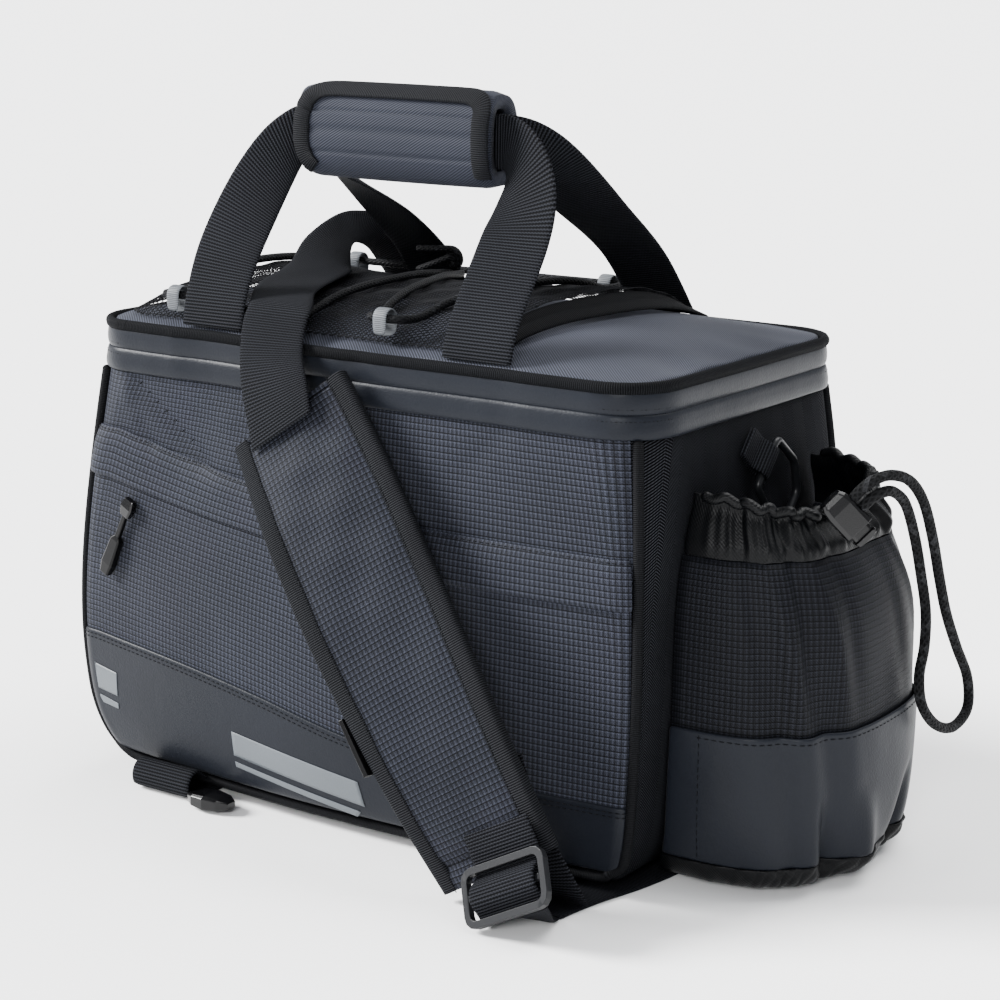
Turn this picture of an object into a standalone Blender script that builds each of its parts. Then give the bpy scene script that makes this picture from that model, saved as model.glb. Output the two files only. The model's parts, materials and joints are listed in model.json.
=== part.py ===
"""Bicycle trunk bag with a bottle pocket, a carry handle and a shoulder strap.

Metres, +Z up, +X towards the bottle pocket, -Y towards the front panel.
The bag stands on the floor. Every piece is modelled about the middle of the
main compartment, and an empty moves the whole bag so that the middle of its
outer box lies over the origin.
"""
import math

import bmesh
import bpy
import numpy as np
from mathutils import Vector

# Driving sizes of the main compartment
BODY_LENGTH = 0.328
BODY_WIDTH = 0.192
BODY_HEIGHT = 0.2065
BODY_WALL = 0.003
END_BELLY = 0.15            # share of the front's belly that the end walls have
LID_BAND_HEIGHT = 0.0194
LID_CROWN = 0.012
LID_WALL = 0.003

# Cloth, webbing and cords
WEBBING_WIDTH = 0.038
WEBBING = 0.0018            # thickness of the strap webbing
PANEL_CLOTH = 0.0016
TRIM_CLOTH = 0.0022
FLAP_CLOTH = 0.0015
BAND_CLOTH = 0.0014
MESH_CLOTH = 0.0010
PIPING_RADIUS = 0.0024
BINDING_RADIUS = 0.0020
BUNGEE_RADIUS = 0.0020
DRAWCORD_RADIUS = 0.0025

# Mesh pocket on the lid
MESH_MARGIN = 0.011         # from the bag's long sides to the mesh's edge
MESH_PUFF = 0.011           # highest rise of the loose mesh above the lid
HEM_WIDTH = 0.010
HEM_FRONT_X = 0.065
HEM_SLANT = 0.018
LOOP_WIDTH = 0.008
LOOP_CLOTH = 0.0009
LOOP_SLACK = 0.0020         # room round the bungee inside its loops

# Carry handle
GRIP_LENGTH = 0.111
GRIP_HEIGHT = 0.044
GRIP_THICKNESS = 0.026
GRIP_WALL = 0.0065
GRIP_MIDDLE = (-0.0055, -0.0392, 0.3270)

# Shoulder strap
PAD_WIDTH = 0.070
PAD_THICKNESS = 0.008
PAD_EDGE = 0.0035
PAD_BINDING_RADIUS = 0.0021
GLIDE_LENGTH = 0.048
GLIDE_WIDTH = 0.027
GLIDE_ROD = 0.0034
GLIDE_MIDDLE = (0.1374, -0.1600, 0.0222)

# Zip pull of the front pocket
ZIP_ALONG = -0.85           # place of the slider as a share of the flat front
ZIP_UP = 0.672
ZIP_PULL_LENGTH = 0.034
ZIP_PULL_THICKNESS = 0.0044

# Slide on the rack strap
RACK_SLIDE_LENGTH = 0.026
RACK_SLIDE_WIDTH = 0.015

# D-rings on the end walls
RING_BAR = 0.023
RING_LENGTH = 0.036
RING_RADIUS = 0.0019
TAB_WIDTH = 0.0165
TAB_LENGTH = 0.018
RING_SLANT = math.radians(48)
RING_ALONG = 0.0073         # middle of the bar, behind the middle of the end wall
RING_UP = 0.1835

# Bottle pocket
POCKET_DEPTH = 0.070
POCKET_WIDTH = 0.142
POCKET_HEIGHT = 0.150
POCKET_WALL = 0.0022
POCKET_FOOT = 0.0035        # floor to the pocket's underside
POCKET_SQUARENESS = 2.8
COATED_HEIGHT = 0.074
CUFF_HEIGHT = 0.026
CUFF_WALL = 0.0016
CUFF_RUFFLES = 17
CUFF_RUFFLE_DEPTH = 0.0022

# Cord lock on the pocket's drawcord
LOCK_LENGTH = 0.019
LOCK_WIDTH = 0.014
LOCK_THICKNESS = 0.009
LOCK_WALL = 0.0016
BUTTON_LENGTH = 0.009       # of the button's shank inside the body
BUTTON_HEAD = 0.0028
BUTTON_STROKE = 0.003
LOCK_MIDDLE = (0.2249, -0.0285, 0.1740)
LOCK_AXIS = (0.57, 0.39, -0.72)

# Clearances
GAP = 0.0003                # between pieces that touch
LAYER = 0.0007              # between cloth layers on a curved wall

BASE = WEBBING + GAP        # the bag stands on the webbing that passes under it
BODY_TOP = BASE + BODY_HEIGHT
LID_TOP = BODY_TOP + LID_BAND_HEIGHT
LID_EDGE = LID_TOP + 0.0030

# Main compartment: heights as shares of BODY_HEIGHT, reaches from the middle
# as shares of BODY_LENGTH (left, right) and of BODY_WIDTH (front, back), the
# upright corners' radius and the front's belly as shares of BODY_WIDTH
BODY_SECTIONS = [
    # height, left, right, front, back, corner, belly
    (0.000, 0.341, 0.436, 0.448, 0.448, 0.021, 0.000),
    (0.015, 0.396, 0.459, 0.477, 0.477, 0.031, 0.021),
    (0.048, 0.442, 0.474, 0.495, 0.495, 0.042, 0.042),
    (0.116, 0.479, 0.488, 0.505, 0.505, 0.047, 0.052),
    (0.217, 0.500, 0.495, 0.510, 0.510, 0.052, 0.057),
    (0.386, 0.509, 0.500, 0.513, 0.513, 0.057, 0.057),
    (0.580, 0.505, 0.500, 0.510, 0.510, 0.068, 0.047),
    (0.797, 0.495, 0.498, 0.505, 0.505, 0.099, 0.026),
    (1.000, 0.488, 0.491, 0.490, 0.490, 0.135, 0.008),
]
BODY_LEVELS = (0.0, 0.015, 0.048, 0.116, 0.217, 0.34, 0.48, 0.62, 0.76, 0.88, 1.0)

# Dents of the front panel: place as shares of the flat side and of
# BODY_HEIGHT, radius and depth as shares of BODY_WIDTH
FRONT_DENTS = [
    # along, height, radius, depth
    (-0.62, 0.90, 0.16, 0.018),
    (-0.30, 0.82, 0.14, 0.012),
    (0.55, 0.86, 0.18, 0.008),
]

# Zip flap of the front pocket and top of the coated trim, against the share
# of the flat side, as shares of BODY_HEIGHT
FRONT_LINES = [
    # along, flap top, flap bottom, trim top
    (-0.97, 0.855, 0.738, 0.345),
    (-0.60, 0.805, 0.697, 0.325),
    (-0.25, 0.772, 0.670, 0.290),
    (0.10, 0.752, 0.648, 0.243),
    (0.50, 0.745, 0.640, 0.212),
    (0.97, 0.745, 0.640, 0.205),
]
TRIM_BOTTOM = 0.050
FLAP_LAP = 0.055            # how far the flap hangs over the pocket's edge

# Bottle pocket: heights as shares of POCKET_HEIGHT, reach of POCKET_DEPTH,
# half width of POCKET_WIDTH
POCKET_SECTIONS = [
    # height, reach, half width
    (0.00, 0.780, 0.400),
    (0.03, 0.900, 0.455),
    (0.09, 0.955, 0.480),
    (0.20, 0.985, 0.494),
    (0.40, 1.000, 0.500),
    (0.60, 0.995, 0.500),
    (0.80, 0.960, 0.492),
    (0.92, 0.885, 0.474),
    (1.00, 0.800, 0.450),
]
# Long upright folds of the pocket's wall: direction round the pocket in
# degrees from straight out, width in degrees, depth as a share of POCKET_DEPTH
POCKET_FOLDS = [
    # direction, width, depth
    (-58, 9, 0.050),
    (-30, 12, 0.030),
    (38, 14, 0.035),
]
# The gathered cuff above the wall: height as a share of CUFF_HEIGHT, reach
# and half width as shares of the wall's top, share of the ruffles' depth
CUFF_SECTIONS = [
    # height, reach, half width, ruffle
    (0.00, 1.000, 1.000, 0.25),
    (0.30, 0.985, 0.985, 0.80),
    (0.62, 0.900, 0.940, 0.60),
    (1.00, 0.880, 0.925, 1.25),
]

# Rise of the loose mesh above the lid from its left edge to its hem
MESH_RISE = [
    # along, share of MESH_PUFF
    (0.00, 0.00),
    (0.05, 0.70),
    (0.11, 1.00),
    (0.18, 0.60),
    (0.30, 0.26),
    (0.55, 0.28),
    (0.78, 0.55),
    (1.00, 0.90),
]

# Straps: middle of the webbing as shares of BODY_LENGTH, BODY_WIDTH and
# LID_TOP, the direction of its width, and its width as a share of WEBBING_WIDTH
HANDLE_FRONT = [
    # along, across, up, width direction x, y, z, width
    (-0.250, -0.474, 1.0245, 1.00, 0.00, 0.00, 1.00),
    (-0.251, -0.457, 1.090, 1.00, 0.00, 0.00, 1.00),
    (-0.252, -0.405, 1.180, 0.98, 0.00, -0.15, 1.00),
    (-0.243, -0.330, 1.285, 0.88, 0.00, -0.45, 0.92),
    (-0.226, -0.270, 1.368, 0.66, 0.00, -0.75, 0.82),
    (-0.205, -0.232, 1.416, 0.30, 0.00, -0.95, 0.72),
    (-0.186, -0.214, 1.430, 0.05, 0.00, -1.00, 0.68),
    (-0.165, -0.211, 1.431, 0.00, 0.00, -1.00, 0.68),
    (0.060, -0.211, 1.431, 0.00, 0.00, -1.00, 0.68),
    (0.142, -0.211, 1.431, 0.00, 0.00, -1.00, 0.68),
    (0.162, -0.214, 1.430, -0.05, 0.00, -1.00, 0.68),
    (0.184, -0.228, 1.414, -0.34, 0.00, -0.94, 0.78),
    (0.203, -0.247, 1.372, -0.72, 0.00, -0.69, 0.92),
    (0.214, -0.270, 1.315, -0.94, 0.00, -0.34, 1.00),
    (0.217, -0.320, 1.240, -1.00, 0.00, 0.00, 1.00),
    (0.219, -0.440, 1.100, -1.00, 0.00, 0.00, 1.00),
    (0.219, -0.474, 1.0245, -1.00, 0.00, 0.00, 1.00),
]
HANDLE_BACK = [
    # along, across, up, width direction x, y, z, width
    (-0.234, 0.472, 1.0260, 1.00, 0.00, 0.00, 1.00),
    (-0.230, 0.370, 1.124, 1.00, 0.00, -0.05, 1.00),
    (-0.225, 0.170, 1.245, 0.97, 0.10, -0.20, 0.96),
    (-0.218, -0.030, 1.342, 0.82, 0.15, -0.55, 0.86),
    (-0.206, -0.150, 1.405, 0.38, 0.05, -0.92, 0.76),
    (-0.188, -0.195, 1.430, 0.05, 0.00, -1.00, 0.68),
    (-0.165, -0.198, 1.431, 0.00, 0.00, -1.00, 0.68),
    (0.060, -0.198, 1.431, 0.00, 0.00, -1.00, 0.68),
    (0.142, -0.198, 1.431, 0.00, 0.00, -1.00, 0.68),
    (0.162, -0.195, 1.430, -0.05, 0.00, -1.00, 0.68),
    (0.178, -0.150, 1.410, -0.42, -0.05, -0.90, 0.78),
    (0.186, -0.060, 1.366, -0.82, -0.15, -0.50, 0.88),
    (0.188, 0.100, 1.283, -0.97, -0.10, -0.20, 0.96),
    (0.189, 0.310, 1.168, -1.00, 0.00, -0.05, 1.00),
    (0.189, 0.472, 1.0260, -1.00, 0.00, 0.00, 1.00),
]
STRAP_OVER_LID = [
    # along, across, up, width direction x, y, z, width
    (-0.048, -0.629, 0.857, 0.80, 0.15, 0.58, 1.00),
    (-0.061, -0.616, 0.905, 0.84, 0.12, 0.50, 1.00),
    (-0.085, -0.585, 0.965, 0.95, 0.05, 0.25, 1.00),
    (-0.108, -0.540, 1.006, 1.00, 0.00, 0.06, 1.00),
    (-0.124, -0.494, 1.054, 1.00, 0.00, 0.00, 1.00),
    (-0.136, -0.440, 1.088, 1.00, 0.00, 0.00, 1.00),
    (-0.198, -0.286, 1.100, 1.00, 0.00, 0.00, 1.00),
    (-0.272, 0.000, 1.106, 0.99, 0.05, -0.06, 1.00),
    (-0.312, 0.130, 1.128, 0.86, 0.00, -0.42, 0.86),
    (-0.336, 0.260, 1.166, 0.55, -0.25, -0.78, 0.56),
    (-0.344, 0.360, 1.164, 0.00, -0.45, -0.88, 0.50),
    (-0.342, 0.460, 1.142, -0.68, -0.30, -0.60, 0.72),
    (-0.328, 0.538, 1.066, -0.94, -0.05, -0.30, 0.96),
    (-0.312, 0.545, 1.000, -1.00, 0.00, -0.04, 1.00),
]
# Down the back wall: middle of the webbing as shares of BODY_LENGTH and
# LID_TOP, the slope of its width in degrees and its distance from the wall as
# a share of WEBBING_WIDTH
STRAP_BACK = [
    # along, up, slope, distance
    (-0.312, 0.997, 1, 0.165),
    (-0.305, 0.940, 9, 0.130),
    (-0.285, 0.872, 26, 0.095),
    (-0.235, 0.775, 42, 0.060),
    (-0.140, 0.640, 47, 0.045),
    (0.020, 0.450, 47, 0.045),
    (0.170, 0.280, 45, 0.045),
    (0.270, 0.180, 38, 0.060),
    (0.345, 0.105, 22, 0.110),
    (0.380, 0.062, 6, 0.175),
    (0.388, 0.038, 0, 0.180),
]
# Under the base, flat on the floor: middle of the webbing as shares of
# BODY_LENGTH and BODY_WIDTH
STRAP_UNDER = [
    # along, across
    (0.390, 0.500),
    (0.400, 0.420),
    (0.430, 0.200),
    (0.443, -0.050),
    (0.443, -0.235),
    (0.430, -0.400),
    (0.405, -0.560),
    (0.392, -0.690),
]
STRAP_TAIL = [
    # along, across, up, width direction x, y, z, width
    (0.330, -0.672, 0.270, 0.84, 0.00, 0.54, 1.00),
    (0.358, -0.680, 0.180, 0.86, 0.00, 0.50, 1.00),
    (0.388, -0.668, 0.095, 0.93, 0.05, 0.36, 1.00),
    (0.403, -0.633, 0.036, 0.99, 0.10, 0.08, 1.00),
    (0.405, -0.600, 0.0133, 1.00, 0.00, 0.00, 1.00),
]
# From under the pad up to the slider's lower bar
STRAP_FRONT = [
    # along, across, up, width direction x, y, z, width
    (0.3925, -0.692, 0.0040, 1.00, 0.00, 0.00, 1.00),
    (0.405, -0.745, 0.0130, 0.99, 0.00, 0.09, 1.00),
    (0.422, -0.797, 0.0315, 0.95, 0.00, 0.28, 1.00),
    (0.435, -0.838, 0.0470, 0.88, 0.00, 0.47, 1.00),
]
PAD_ROUTE = [
    # along, across, up, width direction x, y, z
    (-0.056, -0.578, 0.893, 0.775, 0.188, 0.603),
    (-0.033, -0.593, 0.855, 0.765, 0.240, 0.600),
    (0.012, -0.627, 0.785, 0.759, 0.327, 0.563),
    (0.075, -0.671, 0.684, 0.753, 0.401, 0.522),
    (0.148, -0.715, 0.561, 0.760, 0.377, 0.528),
    (0.227, -0.748, 0.417, 0.790, 0.248, 0.560),
    (0.304, -0.761, 0.260, 0.826, 0.109, 0.554),
    (0.376, -0.745, 0.094, 0.871, -0.033, 0.490),
]
# Rack strap under the left part: middle of the webbing as shares of
# BODY_WIDTH and of WEBBING, from the seam round the front fold to the back
RACK_STRAP = [
    # across, up
    (-0.512, 1.75),
    (-0.540, 2.00),
    (-0.570, 4.20),
    (-0.596, 4.20),
    (-0.606, 2.60),
    (-0.590, 1.00),
    (-0.555, 0.50),
    (-0.480, 0.50),
    (0.000, 0.50),
    (0.500, 0.50),
]
RACK_STRAP_ALONG = -0.302

# Bungee cord on the mesh, in the order in which it passes its loops: place as
# a share of BODY_LENGTH, side of the lid, the way that it runs through the
# loop, and the loop's height
BUNGEE_LOOPS = [
    # name, along, side, way, height
    ("front_right", 0.049, -1, 1, 0.012),
    ("back_right", 0.092, 1, -1, 0.012),
    ("back_left", -0.400, 1, -1, 0.012),
    ("front_left", -0.334, -1, 1, 0.012),
    ("front_middle", -0.134, -1, 1, 0.0074),
]
LOOP_ACROSS = {-1: -0.4375, 1: 0.458}
KNOT_ALONG = -0.150
KNOT_ACROSS = 0.345

# Free drawcord of the bottle pocket: chosen points in metres
DRAWCORD_ROUTE = [
    (0.2321, -0.0243, 0.1774),
    (0.2346, -0.0226, 0.1808),
    (0.2374, -0.0185, 0.1832),
    (0.2392, -0.0100, 0.1825),
    (0.2396, 0.0030, 0.1745),
    (0.2390, 0.0160, 0.1570),
    (0.2389, 0.0255, 0.1370),
    (0.2394, 0.0318, 0.1180),
    (0.2404, 0.0300, 0.1020),
    (0.2419, 0.0225, 0.0900),
    (0.2434, 0.0240, 0.0760),
    (0.2449, 0.0370, 0.0635),
    (0.2464, 0.0540, 0.0580),
    (0.2469, 0.0690, 0.0635),
    (0.2464, 0.0680, 0.0790),
    (0.2459, 0.0545, 0.0970),
    (0.2457, 0.0410, 0.1160),
    (0.2459, 0.0305, 0.1350),
    (0.2459, 0.0205, 0.1560),
    (0.2454, 0.0095, 0.1750),
    (0.2434, -0.0020, 0.1865),
    (0.2394, -0.0130, 0.1905),
    (0.2349, -0.0208, 0.1890),
    (0.2314, -0.0250, 0.1854),
    (0.2287, -0.0266, 0.1816),
]

# Colour, roughness and metallic value of each finish
FINISHES = {
    "ripstop": ((0.034, 0.038, 0.048), 0.62, 0.0),
    "twill": ((0.014, 0.014, 0.017), 0.80, 0.0),
    "coated": ((0.050, 0.054, 0.064), 0.45, 0.0),
    "lid_cloth": ((0.022, 0.023, 0.028), 0.75, 0.0),
    "webbing": ((0.016, 0.016, 0.019), 0.78, 0.0),
    "binding": ((0.010, 0.010, 0.012), 0.75, 0.0),
    "net": ((0.012, 0.012, 0.014), 0.80, 0.0),
    "cord": ((0.016, 0.016, 0.019), 0.70, 0.0),
    "taffeta": ((0.024, 0.025, 0.031), 0.50, 0.0),
    "reflective": ((0.420, 0.440, 0.460), 0.40, 0.0),
    "satin_plastic": ((0.045, 0.048, 0.054), 0.38, 0.0),
    "gloss_plastic": ((0.012, 0.012, 0.014), 0.22, 0.0),
}

FRONT_STEPS = 8
BACK_STEPS = 6
END_STEPS = 4
CORNER_STEPS = 3


def empty_the_file():
    """Remove whatever the open file holds"""
    for thing in list(bpy.data.objects):
        bpy.data.objects.remove(thing, do_unlink=True)
    for group in list(bpy.data.collections):
        bpy.data.collections.remove(group)


def smooth_rows(rows, count):
    """Rows of numbers read at even steps from a smooth curve through them"""
    table = np.array(rows, dtype=float)
    last = len(table) - 1
    result = []
    for place in np.linspace(0, last, count):
        i = min(int(place), last - 1)
        t = place - i
        before, here = table[max(i - 1, 0)], table[i]
        there, after = table[i + 1], table[min(i + 2, last)]
        bend = 2 * before - 5 * here + 4 * there - after
        twist = -before + 3 * here - 3 * there + after
        result.append(0.5 * (2 * here + (there - before) * t + bend * t * t + twist * t ** 3))
    return np.array(result)


def read_table(table, place):
    """One row of a table at a place given by its first column"""
    return [np.interp(place, table[:, 0], table[:, k]) for k in range(1, table.shape[1])]


BODY_TABLE = smooth_rows(BODY_SECTIONS, 241)
FRONT_TABLE = smooth_rows(FRONT_LINES, 61)
POCKET_TABLE = smooth_rows(POCKET_SECTIONS, 121)
MESH_TABLE = np.array(MESH_RISE)


def body_sizes(height):
    """Left, right, front and back reach, corner radius and belly at a share of the height"""
    left, right, front, back, corner, belly = read_table(BODY_TABLE, height)
    long_sizes = (left * BODY_LENGTH, right * BODY_LENGTH)
    wide_sizes = (front * BODY_WIDTH, back * BODY_WIDTH, corner * BODY_WIDTH, belly * BODY_WIDTH)
    return long_sizes + wide_sizes


def front_dent(along, height):
    """Depth of the dents at a place on the front panel"""
    depth = 0.0
    for dent_along, dent_height, radius, dent_depth in FRONT_DENTS:
        dx = (along - dent_along) * BODY_LENGTH / 2
        dz = (height - dent_height) * BODY_HEIGHT
        depth += dent_depth * BODY_WIDTH * math.exp(-(dx * dx + dz * dz) / (radius * BODY_WIDTH) ** 2)
    return depth


def wall_point(place, height):
    """Point of the compartment's outside. The place runs round the wall: 0-1 the front from
    left to right, 1-2 the front right corner, 2-3 the right end, 3-4 the back right corner,
    4-5 the back, 5-6 the back left corner, 6-7 the left end and 7-8 the front left corner."""
    left, right, front, back, corner, belly = body_sizes(height)
    middle_x, middle_y = (right - left) / 2, (back - front) / 2
    flat_x = (right + left) / 2 - corner
    flat_y = (back + front) / 2 - corner
    side = int(place) % 8
    share = 2 * (place - int(place)) - 1
    bulge = belly * (1 - share * share)
    z = BASE + height * BODY_HEIGHT
    if side == 0:
        return Vector((middle_x + flat_x * share, -front - bulge + front_dent(share, height), z))
    if side == 2:
        return Vector((right + bulge * END_BELLY, middle_y + flat_y * share, z))
    if side == 4:
        return Vector((middle_x - flat_x * share, back + bulge * END_BELLY, z))
    if side == 6:
        return Vector((-left - bulge * END_BELLY, middle_y - flat_y * share, z))
    angle = math.radians(90 * ((side - 1) // 2) + 45 * (share + 1) - 90)
    turn = {1: (right - corner, -front + corner), 3: (right - corner, back - corner),
            5: (-left + corner, back - corner), 7: (-left + corner, -front + corner)}[side]
    return Vector((turn[0] + corner * math.cos(angle), turn[1] + corner * math.sin(angle), z))


def wall_normal(place, height):
    """Outward direction of the compartment's wall"""
    step = 0.004
    low, high = max(height - step, 0.0), min(height + step, 1.0)
    side = int(place)
    start = max(place - step, side + 1e-6)
    end = min(place + step, side + 1 - 1e-6)
    along = wall_point(end, height) - wall_point(start, height)
    upward = wall_point(place, high) - wall_point(place, low)
    return along.cross(upward).normalized()


def off_wall(place, height, distance):
    """Point at a distance outside the compartment's wall"""
    return wall_point(place, height) + wall_normal(place, height) * distance


def ring_places():
    """Places round the wall, close together on the corners"""
    places = []
    for side in range(8):
        steps = CORNER_STEPS
        if side % 2 == 0:
            steps = {0: FRONT_STEPS, 4: BACK_STEPS}.get(side, END_STEPS)
        places += [side + k / steps for k in range(steps)]
    return places


def top_outline(offset, z):
    """Outline of the compartment's upper edge, moved outwards, at a height"""
    points = []
    for place in ring_places():
        point = wall_point(place, 1.0)
        outward = wall_normal(place, 0.995)
        outward.z = 0
        point += outward.normalized() * offset
        points.append(Vector((point.x, point.y, z)))
    return points


def lid_height(x, y):
    """Top of the crowned lid"""
    across = min(abs(x) / (BODY_LENGTH / 2), 1)
    along = min(abs(y) / (BODY_WIDTH / 2), 1)
    return LID_EDGE + LID_CROWN * (1 - across ** 4) * (1 - along ** 2.6)


def add_piece(name, data, finish):
    """Put a mesh or curve into the bag with a material of its own"""
    colour, roughness, metallic = FINISHES[finish]
    material = bpy.data.materials.new(name)
    material.use_nodes = True
    shader = material.node_tree.nodes["Principled BSDF"]
    shader.inputs["Base Color"].default_value = (*colour, 1)
    shader.inputs["Roughness"].default_value = roughness
    shader.inputs["Metallic"].default_value = metallic
    data.materials.clear()
    data.materials.append(material)
    piece = bpy.data.objects.new(name, data)
    bag_parts.objects.link(piece)
    piece.parent = bag_middle
    return piece


def grid_faces(rows, columns, closed):
    """Quads of a grid of points, row by row"""
    faces = []
    for i in range(rows - 1):
        for j in range(columns if closed else columns - 1):
            k = (j + 1) % columns
            faces.append((i * columns + j, i * columns + k, (i + 1) * columns + k, (i + 1) * columns + j))
    return faces


def add_sheet(name, rows, finish, thickness, offset, closed=False, bottom=False, top=False):
    """A grid of points given a thickness: offset 1 grows outwards, -1 inwards, 0 both ways"""
    columns = len(rows[0])
    points = [tuple(point) for row in rows for point in row]
    faces = grid_faces(len(rows), columns, closed)
    if bottom:
        faces.append(tuple(range(columns))[::-1])
    if top:
        start = (len(rows) - 1) * columns
        faces.append(tuple(range(start, start + columns)))
    mesh = bpy.data.meshes.new(name)
    mesh.from_pydata(points, [], faces)
    piece = add_piece(name, mesh, finish)
    wall = piece.modifiers.new("cloth", "SOLIDIFY")
    wall.thickness = thickness
    wall.offset = offset
    return piece


def add_loft(name, rows, finish):
    """A solid through closed sections, with flat ends"""
    columns = len(rows[0])
    points = [tuple(point) for row in rows for point in row]
    start = (len(rows) - 1) * columns
    faces = grid_faces(len(rows), columns, True)
    faces += [tuple(range(columns))[::-1], tuple(range(start, start + columns))]
    mesh = bpy.data.meshes.new(name)
    mesh.from_pydata(points, [], faces)
    return add_piece(name, mesh, finish)


def add_tube(name, points, radius, finish, closed=False, sides=2):
    """A round cord through points"""
    curve = bpy.data.curves.new(name, "CURVE")
    curve.dimensions = "3D"
    curve.bevel_depth = radius
    curve.bevel_resolution = sides
    curve.use_fill_caps = not closed
    line = curve.splines.new("POLY")
    line.points.add(len(points) - 1)
    for spot, point in zip(line.points, points):
        spot.co = (*point, 1)
    line.use_cyclic_u = closed
    return add_piece(name, curve, finish)


def bag_point(along, across, up):
    """Point given by shares of the bag's length, width and height"""
    return Vector((along * BODY_LENGTH, across * BODY_WIDTH, up * LID_TOP))


def strap_rows(route, steps, width):
    """Two edges of a strap that follows a route of shares"""
    rows = []
    for row in smooth_rows(route, steps):
        middle = bag_point(*row[:3])
        half = Vector(row[3:6]).normalized() * width * row[6] / 2
        rows.append((middle - half, middle + half))
    return rows


def add_strap(name, route, steps, finish="webbing"):
    """A webbing strap along a route of shares"""
    return add_sheet(name, strap_rows(route, steps, WEBBING_WIDTH), finish, WEBBING, 0)


def main_compartment():
    """Padded box of the bag: an open shell from the base to the zip"""
    rows = [[wall_point(place, level) for place in ring_places()] for level in BODY_LEVELS]
    shell = add_sheet("main_compartment", rows, "twill", BODY_WALL, -1, closed=True, bottom=True)
    shell.modifiers["cloth"].use_even_offset = True


def front_strip(low, high, row_offsets, side_margin):
    """Points over the front panel between two lines, each row at its own distance"""
    rows = []
    for share, distance in row_offsets:
        row = []
        for along in np.linspace(-1 + side_margin, 1 - side_margin, FRONT_STEPS + 1):
            height = low(along) * (1 - share) + high(along) * share
            row.append(off_wall((along + 1) / 2, height, distance))
        rows.append(row)
    return rows


def front_line(column):
    """One of the lines across the front panel"""
    return lambda along: np.interp(along, FRONT_TABLE[:, 0], FRONT_TABLE[:, column])


def front_panel():
    """Flat pocket on the front with its zip flap and the coated trim below it"""
    flap_top, flap_bottom, trim_top = front_line(1), front_line(2), front_line(3)
    edge_gap = GAP / BODY_HEIGHT
    trim = front_strip(lambda along: TRIM_BOTTOM, trim_top,
                       [(k / 3, LAYER) for k in range(4)], 0.04)
    add_sheet("lower_trim", trim, "coated", TRIM_CLOTH, 1)
    pocket = front_strip(lambda along: trim_top(along) + edge_gap,
                         lambda along: flap_bottom(along) + FLAP_LAP,
                         [(k / 5, LAYER) for k in range(6)], 0.02)
    add_sheet("front_pocket", pocket, "ripstop", PANEL_CLOTH, 1)
    raised = LAYER + PANEL_CLOTH + LAYER
    flap = front_strip(flap_bottom, flap_top,
                       [(0.0, raised + LAYER), (0.3, raised), (0.6, raised), (0.8, raised * 0.7), (1.0, LAYER)],
                       0.02)
    add_sheet("pocket_flap", flap, "ripstop", FLAP_CLOTH, 1)


def panel_piping():
    """Corded piping round the front and the back panel: down one side, along the bottom, up the other"""
    side_levels = (0.985, 0.88, 0.76, 0.62, 0.48, 0.34, 0.217, 0.15, 0.10, 0.066)
    bend = ((0.28, 0.048), (0.60, 0.039))
    reach = PIPING_RADIUS + LAYER
    for name, near, far, flat in (("front_piping", 7.5, 1.5, 0), ("back_piping", 5.5, 3.5, 4)):
        ahead = 1 if flat == 0 else -1
        down = [off_wall(near, level, reach) for level in side_levels]
        down += [off_wall(near + ahead * share, level, reach) for share, level in bend if share < 0.5]
        bottom = [off_wall(flat + share, 0.033, reach) for share in np.linspace(0.01, 0.99, 9)]
        if ahead < 0:
            bottom.reverse()
        up = [off_wall(far - ahead * share, level, reach) for share, level in bend if share < 0.5]
        up += [off_wall(far, level, reach) for level in reversed(side_levels)]
        add_tube(name, down + bottom + up, PIPING_RADIUS, "binding", sides=1)


def lid():
    """Crowned lid, the coated band round it with its zip, and the bound edge"""
    half = (LID_BAND_HEIGHT - 0.0030) / 2
    bands = (
        ("band_lower", BODY_TOP + GAP, half - 2 * GAP, "coated", 0.0012),
        ("band_upper", LID_TOP - half + GAP, half - 2 * GAP, "coated", 0.0012),
    )
    for name, low, height, finish, swell in bands:
        rows = [top_outline(GAP + swell / 2, low + height * share)
                for share in (0.0, 1.0)]
        add_sheet(name, rows, finish, BAND_CLOTH, 1, closed=True)
    zip_low = BODY_TOP + half
    zip_rows = [top_outline(GAP, zip_low + 0.0030 * share) for share in (0.08, 0.92)]
    add_sheet("lid_zip", zip_rows, "binding", BAND_CLOTH, 1, closed=True)
    rim = top_outline(0.0004, LID_TOP + BINDING_RADIUS)
    add_tube("lid_binding", rim, BINDING_RADIUS, "binding", closed=True, sides=1)
    outline = top_outline(-BINDING_RADIUS - GAP, 0)
    rows = []
    for share in (1.0, 0.92, 0.78, 0.58, 0.3):
        rows.append([Vector((p.x * share, p.y * share, lid_height(p.x * share, p.y * share))) for p in outline])
    add_sheet("lid_panel", rows, "lid_cloth", LID_WALL, -1, closed=True, top=True)


def mesh_edge(x):
    """Half width of the mesh pocket at a place along the lid"""
    corner = 0.135 * BODY_WIDTH
    half = BODY_WIDTH / 2 - MESH_MARGIN
    past = abs(x) - (BODY_LENGTH / 2 - MESH_MARGIN - corner)
    if past <= 0:
        return half
    return half - corner + math.sqrt(max(corner * corner - past * past, 0.0))


def hem_line(y):
    """Free edge of the mesh, slanted towards the back"""
    return HEM_FRONT_X + HEM_SLANT * (y / BODY_WIDTH + 0.5)


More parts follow.
